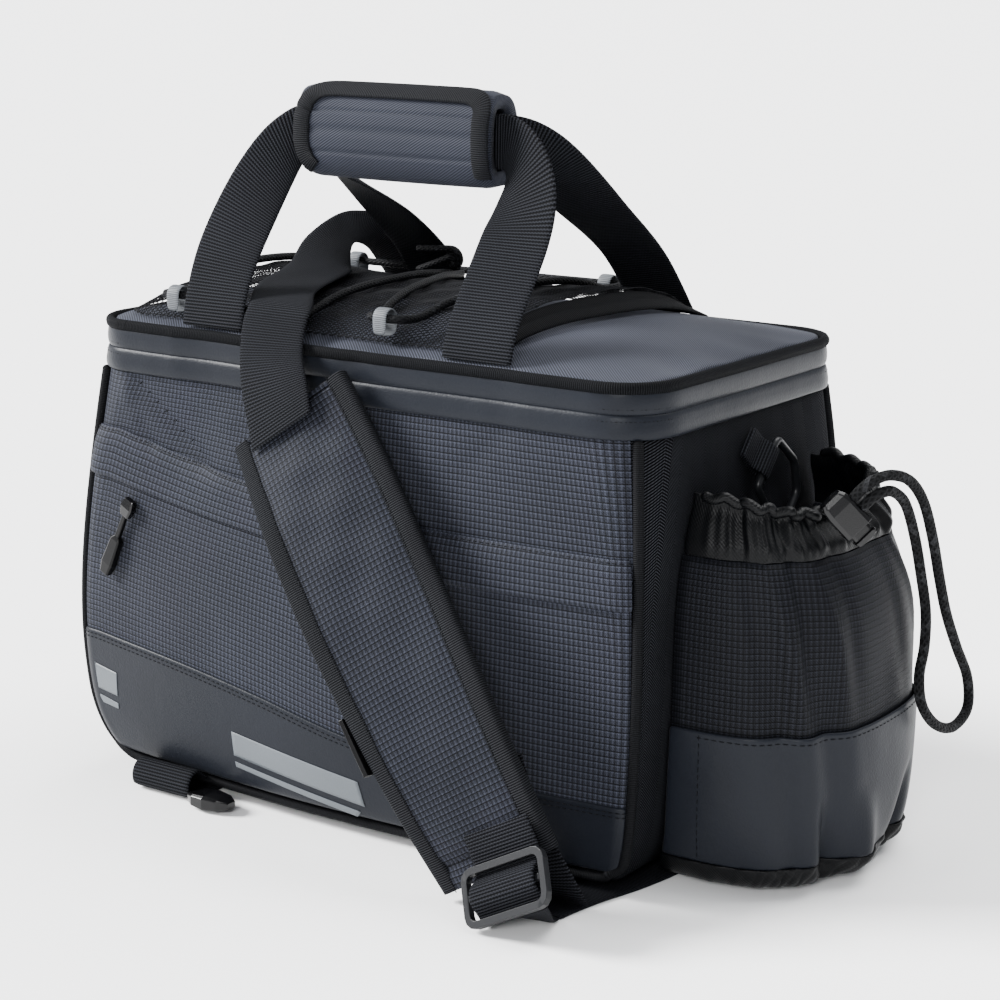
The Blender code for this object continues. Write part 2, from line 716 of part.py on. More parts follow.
def mesh_height(x, y):
    """Underside of the mesh, puffed up above the lid"""
    left = -(BODY_LENGTH / 2 - MESH_MARGIN)
    along = min(max((x - left) / (hem_line(y) - left), 0), 1)
    across = 1 - min(abs(y) / mesh_edge(min(x, 0)), 1) ** 4
    rise = MESH_PUFF * np.interp(along, MESH_TABLE[:, 0], MESH_TABLE[:, 1])
    return lid_height(x, y) + LAYER + rise * across


def mesh_pocket():
    """Elastic mesh over the left part of the lid, and the bound hem of its open edge"""
    left = -(BODY_LENGTH / 2 - MESH_MARGIN)
    rows = []
    for share in (0.0, 0.05, 0.11, 0.18, 0.30, 0.42, 0.55, 0.78, 1.0):
        row = []
        for side in (-1.0, -0.92, -0.76, -0.4, 0.0, 0.4, 0.76, 0.92, 1.0):
            x = left + share * (hem_line(side * BODY_WIDTH * 0.45) - GAP - left)
            y = side * mesh_edge(x)
            row.append(Vector((x, y, mesh_height(x, y))))
        rows.append(row)
    add_sheet("mesh_panel", rows, "net", MESH_CLOTH, -1)
    hem = []
    for side in np.linspace(-1, 1, 15):
        y = side * (BODY_WIDTH / 2 - MESH_MARGIN)
        x = hem_line(side * BODY_WIDTH * 0.45) + GAP
        near, far = Vector((x, y, 0)), Vector((x + HEM_WIDTH, y, 0))
        near.z = mesh_height(x, y)
        far.z = max(near.z - 0.0012, lid_height(far.x, y) + LAYER)
        hem.append((near, far))
    add_sheet("mesh_hem", hem, "binding", WEBBING, 1)


def loop_spot(along, side, height):
    """Where the bungee passes through one of its loops"""
    spot = Vector((along * BODY_LENGTH, LOOP_ACROSS[side] * BODY_WIDTH, 0))
    spot.z = loop_foot(spot) + height - BUNGEE_RADIUS - LOOP_SLACK
    return spot


def loop_foot(spot):
    """Height of a bungee loop's foot, on the mesh's edge or on the lid beside it"""
    reach = BUNGEE_RADIUS + LOOP_SLACK
    inner = abs(spot.y) - reach
    return mesh_height(spot.x, inner) + MESH_CLOTH + LAYER


def bungee():
    """Elastic cord laced over the mesh through loops on the lid's edge and knotted at the back"""
    knot = Vector((KNOT_ALONG * BODY_LENGTH, KNOT_ACROSS * BODY_WIDTH, 0))
    knot.z = mesh_height(knot.x, knot.y) + 0.0105
    stops = [knot + Vector((0.005, -0.0035, -0.0048))]
    for name, along, side, way, height in BUNGEE_LOOPS:
        spot = loop_spot(along, side, height)
        ring = BUNGEE_RADIUS + LOOP_SLACK
        foot = loop_foot(spot)
        path = [(spot.y + side * ring, foot)]
        path += [(spot.y + side * ring * math.cos(t), spot.z + ring * math.sin(t))
                 for t in np.linspace(0, math.pi, 6)]
        path += [(spot.y - side * ring, foot + LOOP_CLOTH)]
        path += [(spot.y + side * (ring - 2 * LOOP_CLOTH), foot + LOOP_CLOTH / 2)]
        rows = [(Vector((spot.x - LOOP_WIDTH / 2, y, z)), Vector((spot.x + LOOP_WIDTH / 2, y, z)))
                for y, z in path]
        add_sheet("cord_loop_" + name, rows, "webbing", LOOP_CLOTH, -side)
        step = Vector((way * (LOOP_WIDTH / 2 + 2 * BUNGEE_RADIUS), 0, 0))
        stops += [spot - step, spot + step]
    stops += [knot + Vector((-0.001, -0.0048, -0.0048))]
    route = []
    for start, end in zip(stops, stops[1:]):
        count = max(round((end - start).length / 0.016), 1)
        for k in range(count):
            route.append(lay_on_mesh(start, end, k / count))
    route.append(stops[-1])
    add_tube("bungee_cord", smooth_rows(route, 54), BUNGEE_RADIUS, "cord")
    turns = []
    for k in range(10):
        t = math.radians(-200 + 290 * k / 9)
        turns.append(knot + Vector((0.0045 * math.cos(t), -0.0065 * k / 9, 0.0045 * math.sin(t) + 0.0035)))
    ends = [turns[-1] + Vector((-0.0065 * k, -0.0003 * k, -0.0004 * k)) for k in range(1, 4)]
    add_tube("bungee_knot", smooth_rows(turns + ends, 18), BUNGEE_RADIUS, "cord")


def lay_on_mesh(start, end, share):
    """Point of the bungee between two stops, lifted onto the mesh between its loops"""
    point = start.lerp(end, share)
    weight = min(min(share, 1 - share) * 6, 1.0)
    if abs(start.y - end.y) < BODY_WIDTH / 10:
        return point
    top = mesh_height(point.x, point.y) + MESH_CLOTH + BUNGEE_RADIUS + LAYER
    return Vector((point.x, point.y, max(point.z * (1 - weight) + top * weight, top)))


def handle():
    """Two webbing loops from the lid's edges, held together by a padded grip"""
    add_strap("handle_front", HANDLE_FRONT, 44)
    add_strap("handle_back", HANDLE_BACK, 38)
    middle = Vector(GRIP_MIDDLE)
    rows = []
    for place, scale in ((-0.5, 0.93), (-0.46, 1.0), (-0.1, 1.02), (0.46, 1.0), (0.5, 0.93)):
        row = []
        for k in range(14):
            t = k / 14 * math.tau
            y = GRIP_THICKNESS / 2 * scale * math.copysign(abs(math.cos(t)) ** 0.8, math.cos(t))
            z = GRIP_HEIGHT / 2 * scale * math.copysign(abs(math.sin(t)) ** 0.8, math.sin(t))
            row.append(middle + Vector((place * GRIP_LENGTH, y, z)))
        rows.append(row)
    add_sheet("handle_grip", rows, "ripstop", GRIP_WALL, -1, closed=True)


def pad_frames(steps):
    """Middle, width and thickness directions along the shoulder pad"""
    rows = smooth_rows(PAD_ROUTE, steps)
    middles = [bag_point(*row[:3]) for row in rows]
    frames = []
    for k, row in enumerate(rows):
        tangent = middles[min(k + 1, steps - 1)] - middles[max(k - 1, 0)]
        wide = Vector(row[3:6])
        thick = wide.cross(tangent).normalized()
        if thick.y > 0:
            thick.negate()
        wide -= tangent * (wide.dot(tangent) / tangent.length_squared)
        frames.append((middles[k], wide.normalized(), thick))
    return frames


def shoulder_pad():
    """Padded part of the shoulder strap with a bound edge on each side"""
    half = PAD_WIDTH / 2 - 2 * PAD_BINDING_RADIUS - GAP
    sections = []
    frames = pad_frames(13)
    for middle, wide, thick in frames:
        front = []
        back = []
        for share in (-1.0, -0.8, -0.4, 0.0, 0.4, 0.8, 1.0):
            rise = PAD_EDGE / 2 + (PAD_THICKNESS - PAD_EDGE) / 2 * (1 - share ** 4)
            front.append(middle + wide * half * share + thick * rise)
            back.append(middle + wide * half * share - thick * rise)
        sections.append(front + back[::-1])
    turn = frames[0][1].cross(frames[0][2]).dot(frames[1][0] - frames[0][0])
    if turn > 0:
        sections = [section[::-1] for section in sections]
    add_loft("shoulder_pad", sections, "ripstop")
    for name, side in (("pad_binding_left", -1), ("pad_binding_right", 1)):
        line = [middle + wide * side * (half + GAP + PAD_BINDING_RADIUS) for middle, wide, _ in frames]
        add_tube(name, line, PAD_BINDING_RADIUS, "binding", sides=1)


def back_spot(x, z, distance):
    """Point at a distance behind the back wall, or behind the band above it"""
    height = min((z - BASE) / BODY_HEIGHT, 1.0)
    left, right, _, _, corner, _ = body_sizes(height)
    middle_x, flat_x = (right - left) / 2, (right + left) / 2 - corner
    share = min(max((middle_x - x) / flat_x, -0.999), 0.999)
    return Vector((x, wall_point(4.5 + share / 2, height).y + distance, z))


def shoulder_strap():
    """Webbing of the shoulder strap: over the lid, down the back, under the bag, up behind the pad"""
    add_strap("strap_over_lid", STRAP_OVER_LID, 30)
    down = []
    for along, up, slope, distance in smooth_rows(STRAP_BACK, 17):
        x, z = along * BODY_LENGTH, up * LID_TOP
        half = Vector((math.cos(math.radians(slope)), 0, math.sin(math.radians(slope)))) * WEBBING_WIDTH / 2
        gap = distance * WEBBING_WIDTH
        down.append((back_spot(x - half.x, z - half.z, gap), back_spot(x + half.x, z + half.z, gap)))
    add_sheet("strap_back", down, "webbing", WEBBING, 0)
    under = []
    half = Vector((WEBBING_WIDTH / 2, 0, 0))
    last = (down[-1][0] + down[-1][1]) / 2
    for y, z in ((last.y - 0.0012, last.z - 0.0042), (last.y - 0.0036, WEBBING)):
        under.append((Vector((last.x, y, z)) - half, Vector((last.x, y, z)) + half))
    for along, across in smooth_rows(STRAP_UNDER, 12):
        middle = Vector((along * BODY_LENGTH, across * BODY_WIDTH, WEBBING / 2))
        under.append((middle - half, middle + half))
    add_sheet("strap_under", under, "webbing", WEBBING, 0)
    add_strap("strap_tail", STRAP_TAIL, 9)
    add_strap("strap_front", STRAP_FRONT, 7)


def rounded_frame(length, width, rounding):
    """Outline of a rounded rectangle about the origin"""
    points = []
    for turn, (sx, sy) in enumerate(((1, 1), (-1, 1), (-1, -1), (1, -1))):
        centre = (sx * (length / 2 - rounding), sy * (width / 2 - rounding))
        for k in range(4):
            angle = math.radians(90 * turn + 30 * k)
            points.append((centre[0] + rounding * math.cos(angle), centre[1] + rounding * math.sin(angle)))
    return points


def tri_glide():
    """Plastic three-bar slider on the strap, standing in front of the pad's end"""
    wide = Vector((0.88, 0.0, 0.478)).normalized()
    down = Vector((0.42, -0.42, -0.80))
    down = (down - wide * down.dot(wide)).normalized()
    out = down.cross(wide).normalized()
    middle = Vector(GLIDE_MIDDLE)
    outer = rounded_frame(GLIDE_LENGTH, GLIDE_WIDTH, 0.006)
    inner = rounded_frame(GLIDE_LENGTH - 2 * GLIDE_ROD, GLIDE_WIDTH - 2 * GLIDE_ROD, 0.003)
    bar = GLIDE_ROD * 0.42
    sections = []
    for outline, level in ((outer, -0.5), (outer, 0.5), (inner, 0.5), (inner, -0.5)):
        sections.append([middle + wide * x + down * y + out * level * GLIDE_ROD for x, y in outline])
    mesh = bpy.data.meshes.new("tri_glide")
    count = len(outer)
    faces = grid_faces(4, count, True)
    faces += [(3 * count + j, 3 * count + (j + 1) % count, (j + 1) % count, j) for j in range(count)]
    mesh.from_pydata([tuple(p) for row in sections for p in row], [], [face[::-1] for face in faces])
    frame = add_piece("tri_glide", mesh, "satin_plastic")
    reach = GLIDE_LENGTH / 2 - GLIDE_ROD * 0.4
    rod = [[middle + wide * x + down * bar * a + out * bar * b for a, b in ((1, 1), (-1, 1), (-1, -1), (1, -1))]
           for x in (-reach, reach)]
    cutter = bpy.data.meshes.new("glide_bar")
    cutter.from_pydata([tuple(p) for row in rod for p in row], [],
                       grid_faces(2, 4, True) + [(3, 2, 1, 0), (4, 5, 6, 7)])
    centre_bar = bpy.data.objects.new("glide_bar", cutter)
    bag_cutters.objects.link(centre_bar)
    centre_bar.parent = bag_middle
    centre_bar.hide_render = True
    centre_bar.display_type = "WIRE"
    for mesh_data in (mesh, cutter):
        turn_faces_out(mesh_data)
    joined = frame.modifiers.new("centre bar", "BOOLEAN")
    joined.operation = "UNION"
    joined.object = centre_bar
    reach_up = GLIDE_WIDTH / 2
    weave = []
    clear = GLIDE_ROD / 2 + WEBBING / 2 + GAP
    for y, level in ((-2.05, 0.8), (-1.5, -0.2), (-1.15, -0.92), (-0.82, -1.04), (-0.60, -0.72), (-0.26, 0.74),
                     (0.0, 0.98), (0.26, 0.74), (0.60, -0.72), (0.80, -1.04), (0.94, -1.04)):
        weave.append(middle + down * y * reach_up + out * level * clear)
    rows = [(p - wide * (WEBBING_WIDTH / 2), p + wide * (WEBBING_WIDTH / 2))
            for p in (Vector(q) for q in smooth_rows(weave, 21))]
    add_sheet("glide_webbing", rows, "webbing", WEBBING, 0)


def turn_faces_out(mesh):
    """Make a closed mesh's faces point outwards"""
    work = bmesh.new()
    work.from_mesh(mesh)
    bmesh.ops.recalc_face_normals(work, faces=work.faces)
    work.to_mesh(mesh)
    work.free()


def round_corners(points, cut):
    """Round the corners of a closed outline, starting at a distance from each"""
    rounded = []
    for before, here, after in zip(points[-1:] + points[:-1], points, points[1:] + points[:1]):
        first = here + (before - here).normalized() * cut
        second = here + (after - here).normalized() * cut
        rounded += [first, here * 0.55 + (first + second) * 0.225, second]
    return rounded


def end_ring(side):
    """D-ring in its webbing tab on an end wall; side 1 is the pocket's end, -1 the other"""
    name = "right" if side > 0 else "left"
    place = (2.5 if side > 0 else 6.5) + side * RING_ALONG / BODY_WIDTH
    height = (RING_UP - BASE) / BODY_HEIGHT
    outward = Vector((side, 0, 0))
    bar_lift = 3 * LAYER + 0.0014 + RING_RADIUS
    middle = wall_point(place, height) + outward * bar_lift
    bar = Vector((0, math.cos(RING_SLANT), math.sin(RING_SLANT)))
    hang = Vector((0, math.sin(RING_SLANT), -math.cos(RING_SLANT)))
    corners = [(-0.5, 0), (0.5, 0), (0.58, 0.62), (0.26, 1.0), (-0.26, 1.0), (-0.58, 0.62)]
    outline = [bar * x * (RING_BAR + 0.004) + hang * y * RING_LENGTH for x, y in corners]
    ring = add_tube("d_ring_" + name, round_corners(outline, 0.0036), RING_RADIUS, "satin_plastic", closed=True, sides=1)
    ring.location = middle
    cloth = 0.0011
    wrap = RING_RADIUS + GAP + cloth / 2
    low = LAYER + cloth / 2 - bar_lift
    path = [(-TAB_LENGTH, low + cloth + 2 * GAP), (-TAB_LENGTH * 0.5, low + cloth + 3 * GAP), (-0.004, wrap * 0.75)]
    path += [(wrap * math.sin(t), wrap * math.cos(t)) for t in np.linspace(0, math.pi, 6)]
    path += [(-TAB_LENGTH * 0.35, low), (-TAB_LENGTH, low)]
    rows = []
    for reach, lift in path:
        spot = middle + hang * reach + outward * lift
        rows.append((spot - bar * TAB_WIDTH / 2, spot + bar * TAB_WIDTH / 2))
    add_sheet("ring_tab_" + name, rows, "webbing", cloth, 0)


def pocket_outline(height, grow, steps, ruffle=0.0, squeeze=(1.0, 1.0)):
    """Outline of the bottle pocket at a share of its height, from the wall round to the wall"""
    reach, half = read_table(POCKET_TABLE, min(height, 1.0))
    reach = reach * POCKET_DEPTH * squeeze[0] + grow
    half = half * POCKET_WIDTH * squeeze[1] + grow
    power = 2 / POCKET_SQUARENESS
    level = min(max((POCKET_FOOT - BASE + height * POCKET_HEIGHT) / BODY_HEIGHT, 0.0), 1.0)
    front = pocket_plane()
    points = []
    for angle in np.linspace(-90, 90, steps):
        t = math.radians(angle)
        x = reach * max(math.cos(t), 0.0) ** power
        y = half * math.copysign(abs(math.sin(t)) ** power, t)
        dent = 0.0
        for direction, width, depth in POCKET_FOLDS:
            strength = math.sin(math.pi * min(max(height, 0.0), 1.0)) ** 0.5
            dent += depth * POCKET_DEPTH * strength * math.exp(-((angle - direction) / width) ** 2)
        wave = ruffle * CUFF_RUFFLE_DEPTH * math.sin(math.radians(angle + 90) * CUFF_RUFFLES)
        pull = (dent - wave) * max(math.cos(t), 0.0) ** 0.3
        points.append([front + x - pull * math.cos(t), y - pull * math.sin(t) * 0.6])
    foot = (1 - min(max(height, 0.0), 1.0)) ** 6
    for last in (points[0], points[-1]):
        wall = wall_point(2 + (last[1] / BODY_WIDTH + 0.5), level).x
        last[0] = wall + LAYER + POCKET_WALL * 2 * foot
    return points


def pocket_plane():
    """X of the plane where the bottle pocket meets the fullest part of the bag's end wall"""
    return max(wall_point(2.5, level).x for level in BODY_LEVELS) + LAYER


def bottle_pocket():
    """Pocket sewn to the end wall: wall and base, coated lower panel, foot and gathered cuff"""
    rows = []
    for height in (0.0, 0.03, 0.09, 0.2, 0.36, 0.52, 0.68, 0.84, 1.0):
        z = POCKET_FOOT + height * POCKET_HEIGHT
        rows.append([Vector((x, y, z)) for x, y in pocket_outline(height, 0.0, 19)])
    add_sheet("bottle_pocket", rows, "ripstop", POCKET_WALL, -1, bottom=True)
    coated = []
    for share in (0.0, 0.33, 0.66, 1.0):
        height = (0.078 * (1 - share)) + share * COATED_HEIGHT / POCKET_HEIGHT
        z = POCKET_FOOT + height * POCKET_HEIGHT
        coated.append([Vector((x, y, z)) for x, y in pocket_outline(height, LAYER, 19)])
    add_sheet("pocket_lower_panel", coated, "coated", FLAP_CLOTH, 1)
    foot = []
    for height in (0.014, 0.035, 0.072):
        z = POCKET_FOOT + height * POCKET_HEIGHT
        foot.append([Vector((x, y, z)) for x, y in pocket_outline(height, LAYER + 0.0006, 25, 0.25)])
    add_sheet("pocket_foot", foot, "taffeta", PANEL_CLOTH, 1)
    cuff = []
    for height, reach, half, ruffle in CUFF_SECTIONS:
        line = pocket_outline(1.0, 0.0, 39, ruffle, (reach, half))
        z = POCKET_FOOT + POCKET_HEIGHT + GAP + height * CUFF_HEIGHT
        cuff.append([Vector((x, y, z + 0.0015 * ruffle * math.sin(k * 1.7) * (height > 0.5)))
                     for k, (x, y) in enumerate(line)])
    add_sheet("pocket_cuff", cuff, "taffeta", CUFF_WALL, -1)


def lock_frame():
    """Length, width and thickness directions of the cord lock"""
    length = Vector(LOCK_AXIS).normalized()
    facing = Vector((0.56, -0.80, 0.20))
    thick = (facing - length * facing.dot(length)).normalized()
    return length, thick.cross(length).normalized(), thick


def box_rows(middle, frame, sections):
    """Bevelled box sections along the first direction: place, half width, half thickness"""
    length, wide, thick = frame
    rows = []
    for place, half_wide, half_thick in sections:
        cut = 0.25
        outline = [(1, -1 + cut), (1, 1 - cut), (1 - cut, 1), (-1 + cut, 1),
                   (-1, 1 - cut), (-1, -1 + cut), (-1 + cut, -1), (1 - cut, -1)]
        rows.append([middle + length * place + wide * x * half_wide + thick * y * half_thick for x, y in outline])
    return rows


def cord_lock():
    """Cord lock: an open-ended body and the spring button that slides in it"""
    frame = lock_frame()
    middle = Vector(LOCK_MIDDLE)
    half_length = LOCK_LENGTH / 2
    body = box_rows(middle, frame, [
        (half_length, LOCK_WIDTH * 0.5, LOCK_THICKNESS * 0.5),
        (-half_length * 0.3, LOCK_WIDTH * 0.5, LOCK_THICKNESS * 0.5),
        (-half_length * 0.75, LOCK_WIDTH * 0.46, LOCK_THICKNESS * 0.48),
        (-half_length, LOCK_WIDTH * 0.36, LOCK_THICKNESS * 0.40)])
    shell = add_sheet("cord_lock_body", body, "gloss_plastic", LOCK_WALL, -1, closed=True, top=True)
    turn_faces_out(shell.data)
    wide = LOCK_WIDTH / 2 - LOCK_WALL - 2 * GAP
    thick = LOCK_THICKNESS / 2 - LOCK_WALL - 2 * GAP
    out = GAP + BUTTON_STROKE
    button = box_rows(Vector((0, 0, 0)), frame, [
        (-BUTTON_LENGTH, wide, thick), (out, wide, thick),
        (out + 0.0004, LOCK_WIDTH * 0.42, LOCK_THICKNESS * 0.40),
        (out + BUTTON_HEAD, LOCK_WIDTH * 0.36, LOCK_THICKNESS * 0.34)])
    piece = add_loft("cord_lock_button", button, "gloss_plastic")
    turn_faces_out(piece.data)
    piece.location = middle + frame[0] * half_length


def pocket_drawcord():
    """Free loop of the drawcord that hangs from the lock"""
    add_tube("pocket_drawcord", smooth_rows(DRAWCORD_ROUTE, 42), DRAWCORD_RADIUS, "cord")


def zip_puller():
    """Slider of the front pocket's zip and its moulded cord pull"""
    lift = LAYER + PANEL_CLOTH + GAP + ZIP_PULL_THICKNESS / 2 + GAP
    top = off_wall((ZIP_ALONG + 1) / 2, ZIP_UP, lift)
    foot = off_wall((ZIP_ALONG - 0.07 + 1) / 2, ZIP_UP - ZIP_PULL_LENGTH / BODY_HEIGHT, lift)
    down = (foot - top).normalized()
    outward = wall_normal((ZIP_ALONG + 1) / 2, ZIP_UP - 0.08)
    outward = (outward - down * outward.dot(down)).normalized()
    frame = (down, outward.cross(down), outward)
    thick = ZIP_PULL_THICKNESS / 2
    slider = box_rows(top, frame, [(-0.0045, 0.003, thick * 0.7), (0.0, 0.0042, thick), (0.005, 0.003, thick * 0.7)])
    piece = add_loft("zip_slider", slider, "satin_plastic")
    turn_faces_out(piece.data)
    pull = box_rows(top + down * (0.005 + GAP), frame, [
        (0.0, 0.0013, thick * 0.5), (0.012, 0.0015, thick * 0.6), (0.014, 0.0032, thick * 0.9),
        (0.028, 0.0040, thick), (ZIP_PULL_LENGTH, 0.0030, thick * 0.8)])
    piece = add_loft("zip_pull", pull, "satin_plastic")
    turn_faces_out(piece.data)


def rack_strap():
    """Webbing that ties the bag to a rack: folded out under the front edge, with a plastic slide"""
    rows = []
    x = RACK_STRAP_ALONG * BODY_LENGTH
    half = Vector((WEBBING_WIDTH / 2, 0, 0))
    for across, up in smooth_rows(RACK_STRAP, 28):
        middle = Vector((x, across * BODY_WIDTH, max(up, 0.5) * WEBBING))
        rows.append((middle - half, middle + half))
    add_sheet("rack_strap", rows, "webbing", WEBBING, 0)
    reach = RACK_SLIDE_LENGTH / 2
    middle = Vector((x + half.x + reach + 2 * GAP, -0.604 * BODY_WIDTH, RACK_SLIDE_WIDTH * 0.3))
    frame = (Vector((1, 0, 0)), Vector((0, 1, 0)), Vector((0, 0, 1)))
    wide, thick = RACK_SLIDE_WIDTH / 2, RACK_SLIDE_WIDTH / 4
    slide = box_rows(middle, frame, [
        (-reach, wide * 0.4, thick * 0.5), (-reach * 0.6, wide * 0.83, thick * 0.83), (0.0, wide, thick),
        (reach * 0.6, wide * 0.83, thick * 0.83), (reach, wide * 0.4, thick * 0.5)])
    piece = add_loft("rack_slide", slide, "satin_plastic")
    turn_faces_out(piece.data)


def strap_tag():
    """Small blank rubber tag folded over the pad's left edge"""
    middle, wide, thick = pad_frames(13)[9]
    before = pad_frames(13)[8][0]
    along = (middle - before).normalized()
    edge = middle - wide * (PAD_WIDTH / 2 + GAP + 0.0016)
    rows = box_rows(edge, (along, wide, thick), [(-0.014, 0.0014, 0.0030), (0.014, 0.0014, 0.0030)])
    piece = add_loft("strap_tag", rows, "gloss_plastic")
    turn_faces_out(piece.data)


def centre_bag():
    """Put the middle of the bag's box, without the free cord, over the origin"""
    bpy.context.view_layer.update()
    depsgraph = bpy.context.evaluated_depsgraph_get()
    low, high = Vector((9, 9, 9)), Vector((-9, -9, -9))
    for piece in bag_parts.objects:
        if piece.name == "pocket_drawcord":
            continue
        solid = piece.evaluated_get(depsgraph)
        mesh = solid.to_mesh()
        for corner in mesh.vertices:
            spot = solid.matrix_world @ corner.co
            low = Vector(map(min, low, spot))
            high = Vector(map(max, high, spot))
        solid.to_mesh_clear()
    shift = -(low + high) / 2
    bag_middle.location = (round(shift.x, 4), round(shift.y, 4), 0)


empty_the_file()
bag_parts = bpy.data.collections.new("bicycle_trunk_bag")
bag_cutters = bpy.data.collections.new("cutters")
for group in (bag_parts, bag_cutters):
    bpy.context.scene.collection.children.link(group)
bag_middle = bpy.data.objects.new("bag_middle", None)
bag_cutters.objects.link(bag_middle)

main_compartment()
front_panel()
panel_piping()
lid()
mesh_pocket()
bungee()
handle()
shoulder_pad()
shoulder_strap()
tri_glide()
strap_tag()
for end in (1, -1):
    end_ring(end)
bottle_pocket()
cord_lock()
pocket_drawcord()
zip_puller()
rack_strap()
centre_bag()
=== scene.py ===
import json
from math import copysign, cos, exp, hypot, pi, radians, sin, sqrt, tau

import bpy
import numpy as np
from mathutils import Matrix, Vector


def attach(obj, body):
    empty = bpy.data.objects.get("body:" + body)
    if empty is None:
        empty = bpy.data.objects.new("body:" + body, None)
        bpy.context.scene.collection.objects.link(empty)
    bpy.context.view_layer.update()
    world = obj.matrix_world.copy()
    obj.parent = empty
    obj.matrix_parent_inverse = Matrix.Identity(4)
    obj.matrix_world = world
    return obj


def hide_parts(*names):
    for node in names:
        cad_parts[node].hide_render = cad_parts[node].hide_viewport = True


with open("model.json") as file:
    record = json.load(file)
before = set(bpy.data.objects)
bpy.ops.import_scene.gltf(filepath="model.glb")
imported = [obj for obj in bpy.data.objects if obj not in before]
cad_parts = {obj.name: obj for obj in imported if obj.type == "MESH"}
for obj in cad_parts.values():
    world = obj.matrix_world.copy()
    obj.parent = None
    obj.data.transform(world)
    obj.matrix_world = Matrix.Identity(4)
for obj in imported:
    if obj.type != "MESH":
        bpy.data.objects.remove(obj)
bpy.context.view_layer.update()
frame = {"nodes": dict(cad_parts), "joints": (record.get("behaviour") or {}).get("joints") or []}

nodes = frame["nodes"]


# Studio. The camera stands at the photograph's height and distance, over a pale
# floor with a bright surround and soft lights. Nothing here belongs to the bag.
def new_object(name, data):
    """An object with this data, put in the scene"""
    thing = bpy.data.objects.new(name, data)
    bpy.context.scene.collection.objects.link(thing)
    return thing


def fill(tree, node, inputs):
    """Give a node's inputs fixed values, or link them to a socket or a node's first output"""
    for label, value in inputs.items():
        value = value.outputs[0] if isinstance(value, bpy.types.Node) else value
        if isinstance(value, bpy.types.NodeSocket):
            tree.links.new(value, node.inputs[label])
        else:
            node.inputs[label].default_value = value
    return node


view_azimuth, view_height, view_roll = map(radians, (34.064, 13.186, 0.637))
view_middle, view_distance, view_lens = Vector((-0.0099, 0.0306, 0.1466)), 1.188, 86.4
view_right = Vector((cos(view_azimuth), sin(view_azimuth), 0))
view_back = Vector((sin(view_azimuth) * cos(view_height), -cos(view_azimuth) * cos(view_height), sin(view_height)))
view_up = view_back.cross(view_right)
camera = new_object("camera", bpy.data.cameras.new("camera"))
bpy.context.scene.camera = camera
camera.data.lens = view_lens
camera_place = Matrix((view_right * cos(view_roll) + view_up * sin(view_roll),
                       view_up * cos(view_roll) - view_right * sin(view_roll), view_back)).transposed().to_4x4()
camera_place.translation = view_middle + view_back * view_distance
camera.matrix_world = camera_place
soft_lights = (("key_light", (-0.8, -0.38, 0.58), 22, 13), ("front_light", (0.3, -0.82, 0.42), 16, 2.4),
               ("top_light", (0.15, 0.4, 0.9), 50, 4.6))
for name, spot, spread, strength in soft_lights:
    light = new_object(name, bpy.data.lights.new(name, "SUN"))
    light.data.angle, light.data.energy, light.location = radians(spread), strength, spot
    light.rotation_mode, light.rotation_quaternion = "QUATERNION", (-Vector(spot)).to_track_quat("-Z", "Y")
surround, floor_paint = bpy.data.worlds.new("surround"), bpy.data.materials.new("floor_paint")
surround.use_nodes = floor_paint.use_nodes = True
fill(surround.node_tree, surround.node_tree.nodes["Background"], {"Color": (0.93, 0.95, 1, 1), "Strength": 0.75})
fill(floor_paint.node_tree, floor_paint.node_tree.nodes["Principled BSDF"],
     {"Base Color": (0.92, 0.92, 0.92, 1), "Roughness": 0.9})
bpy.context.scene.world = surround
floor_mesh = bpy.data.meshes.new("studio_floor")
floor_mesh.from_pydata([(-30, -30, 0), (30, -30, 0), (30, 30, 0), (-30, 30, 0)], [], [(0, 1, 2, 3)])
floor_mesh.materials.append(floor_paint)
new_object("studio_floor", floor_mesh)


# Drawcord of the bottle pocket: a 5 mm braided polyester cord with light flecks.
# It leaves the cord lock, hangs as one open loop beside the pocket, and goes back
# into the lock, so both of its ends are in the object.
bag_to_row = np.array((-0.034, 0.0306, 0.0))
drawcord_radius = 0.0025
drawcord_route = [
    (0.2321, -0.0243, 0.1774), (0.2346, -0.0226, 0.1808), (0.2374, -0.0185, 0.1832),
    (0.2392, -0.01, 0.1825), (0.2396, 0.003, 0.1745), (0.239, 0.016, 0.157),
    (0.2389, 0.0255, 0.137), (0.2394, 0.0318, 0.118), (0.2404, 0.03, 0.102),
    (0.2419, 0.0225, 0.09), (0.2434, 0.024, 0.076), (0.2449, 0.037, 0.0635),
    (0.2464, 0.054, 0.058), (0.2469, 0.069, 0.0635), (0.2464, 0.068, 0.079),
    (0.2459, 0.0545, 0.097), (0.2457, 0.041, 0.116), (0.2459, 0.0305, 0.135),
    (0.2459, 0.0205, 0.156), (0.2454, 0.0095, 0.175), (0.2434, -0.002, 0.1865),
    (0.2394, -0.013, 0.1905), (0.2349, -0.0208, 0.189), (0.2314, -0.025, 0.1854),
    (0.2287, -0.0266, 0.1816),
]


def smooth_rows(rows, count):
    """Rows of numbers read at even steps from a smooth curve through them"""
    table = np.array(rows, dtype=float)
    last = len(table) - 1
    result = []
    for place in np.linspace(0, last, count):
        i = min(int(place), last - 1)
        t = place - i
        before, here, there, after = table[max(i - 1, 0)], table[i], table[i + 1], table[min(i + 2, last)]
        bend = 2 * before - 5 * here + 4 * there - after
        twist = -before + 3 * here - 3 * there + after
        result.append(0.5 * (2 * here + (there - before) * t + bend * t * t + twist * t ** 3))
    return np.array(result)


def clamp(value, low, high):
    """A value kept within two limits"""
    return min(max(value, low), high)


def bump(distance, width):
    """1 at no distance, and soon 0 on both sides"""
    return exp(-(distance / width) ** 2)


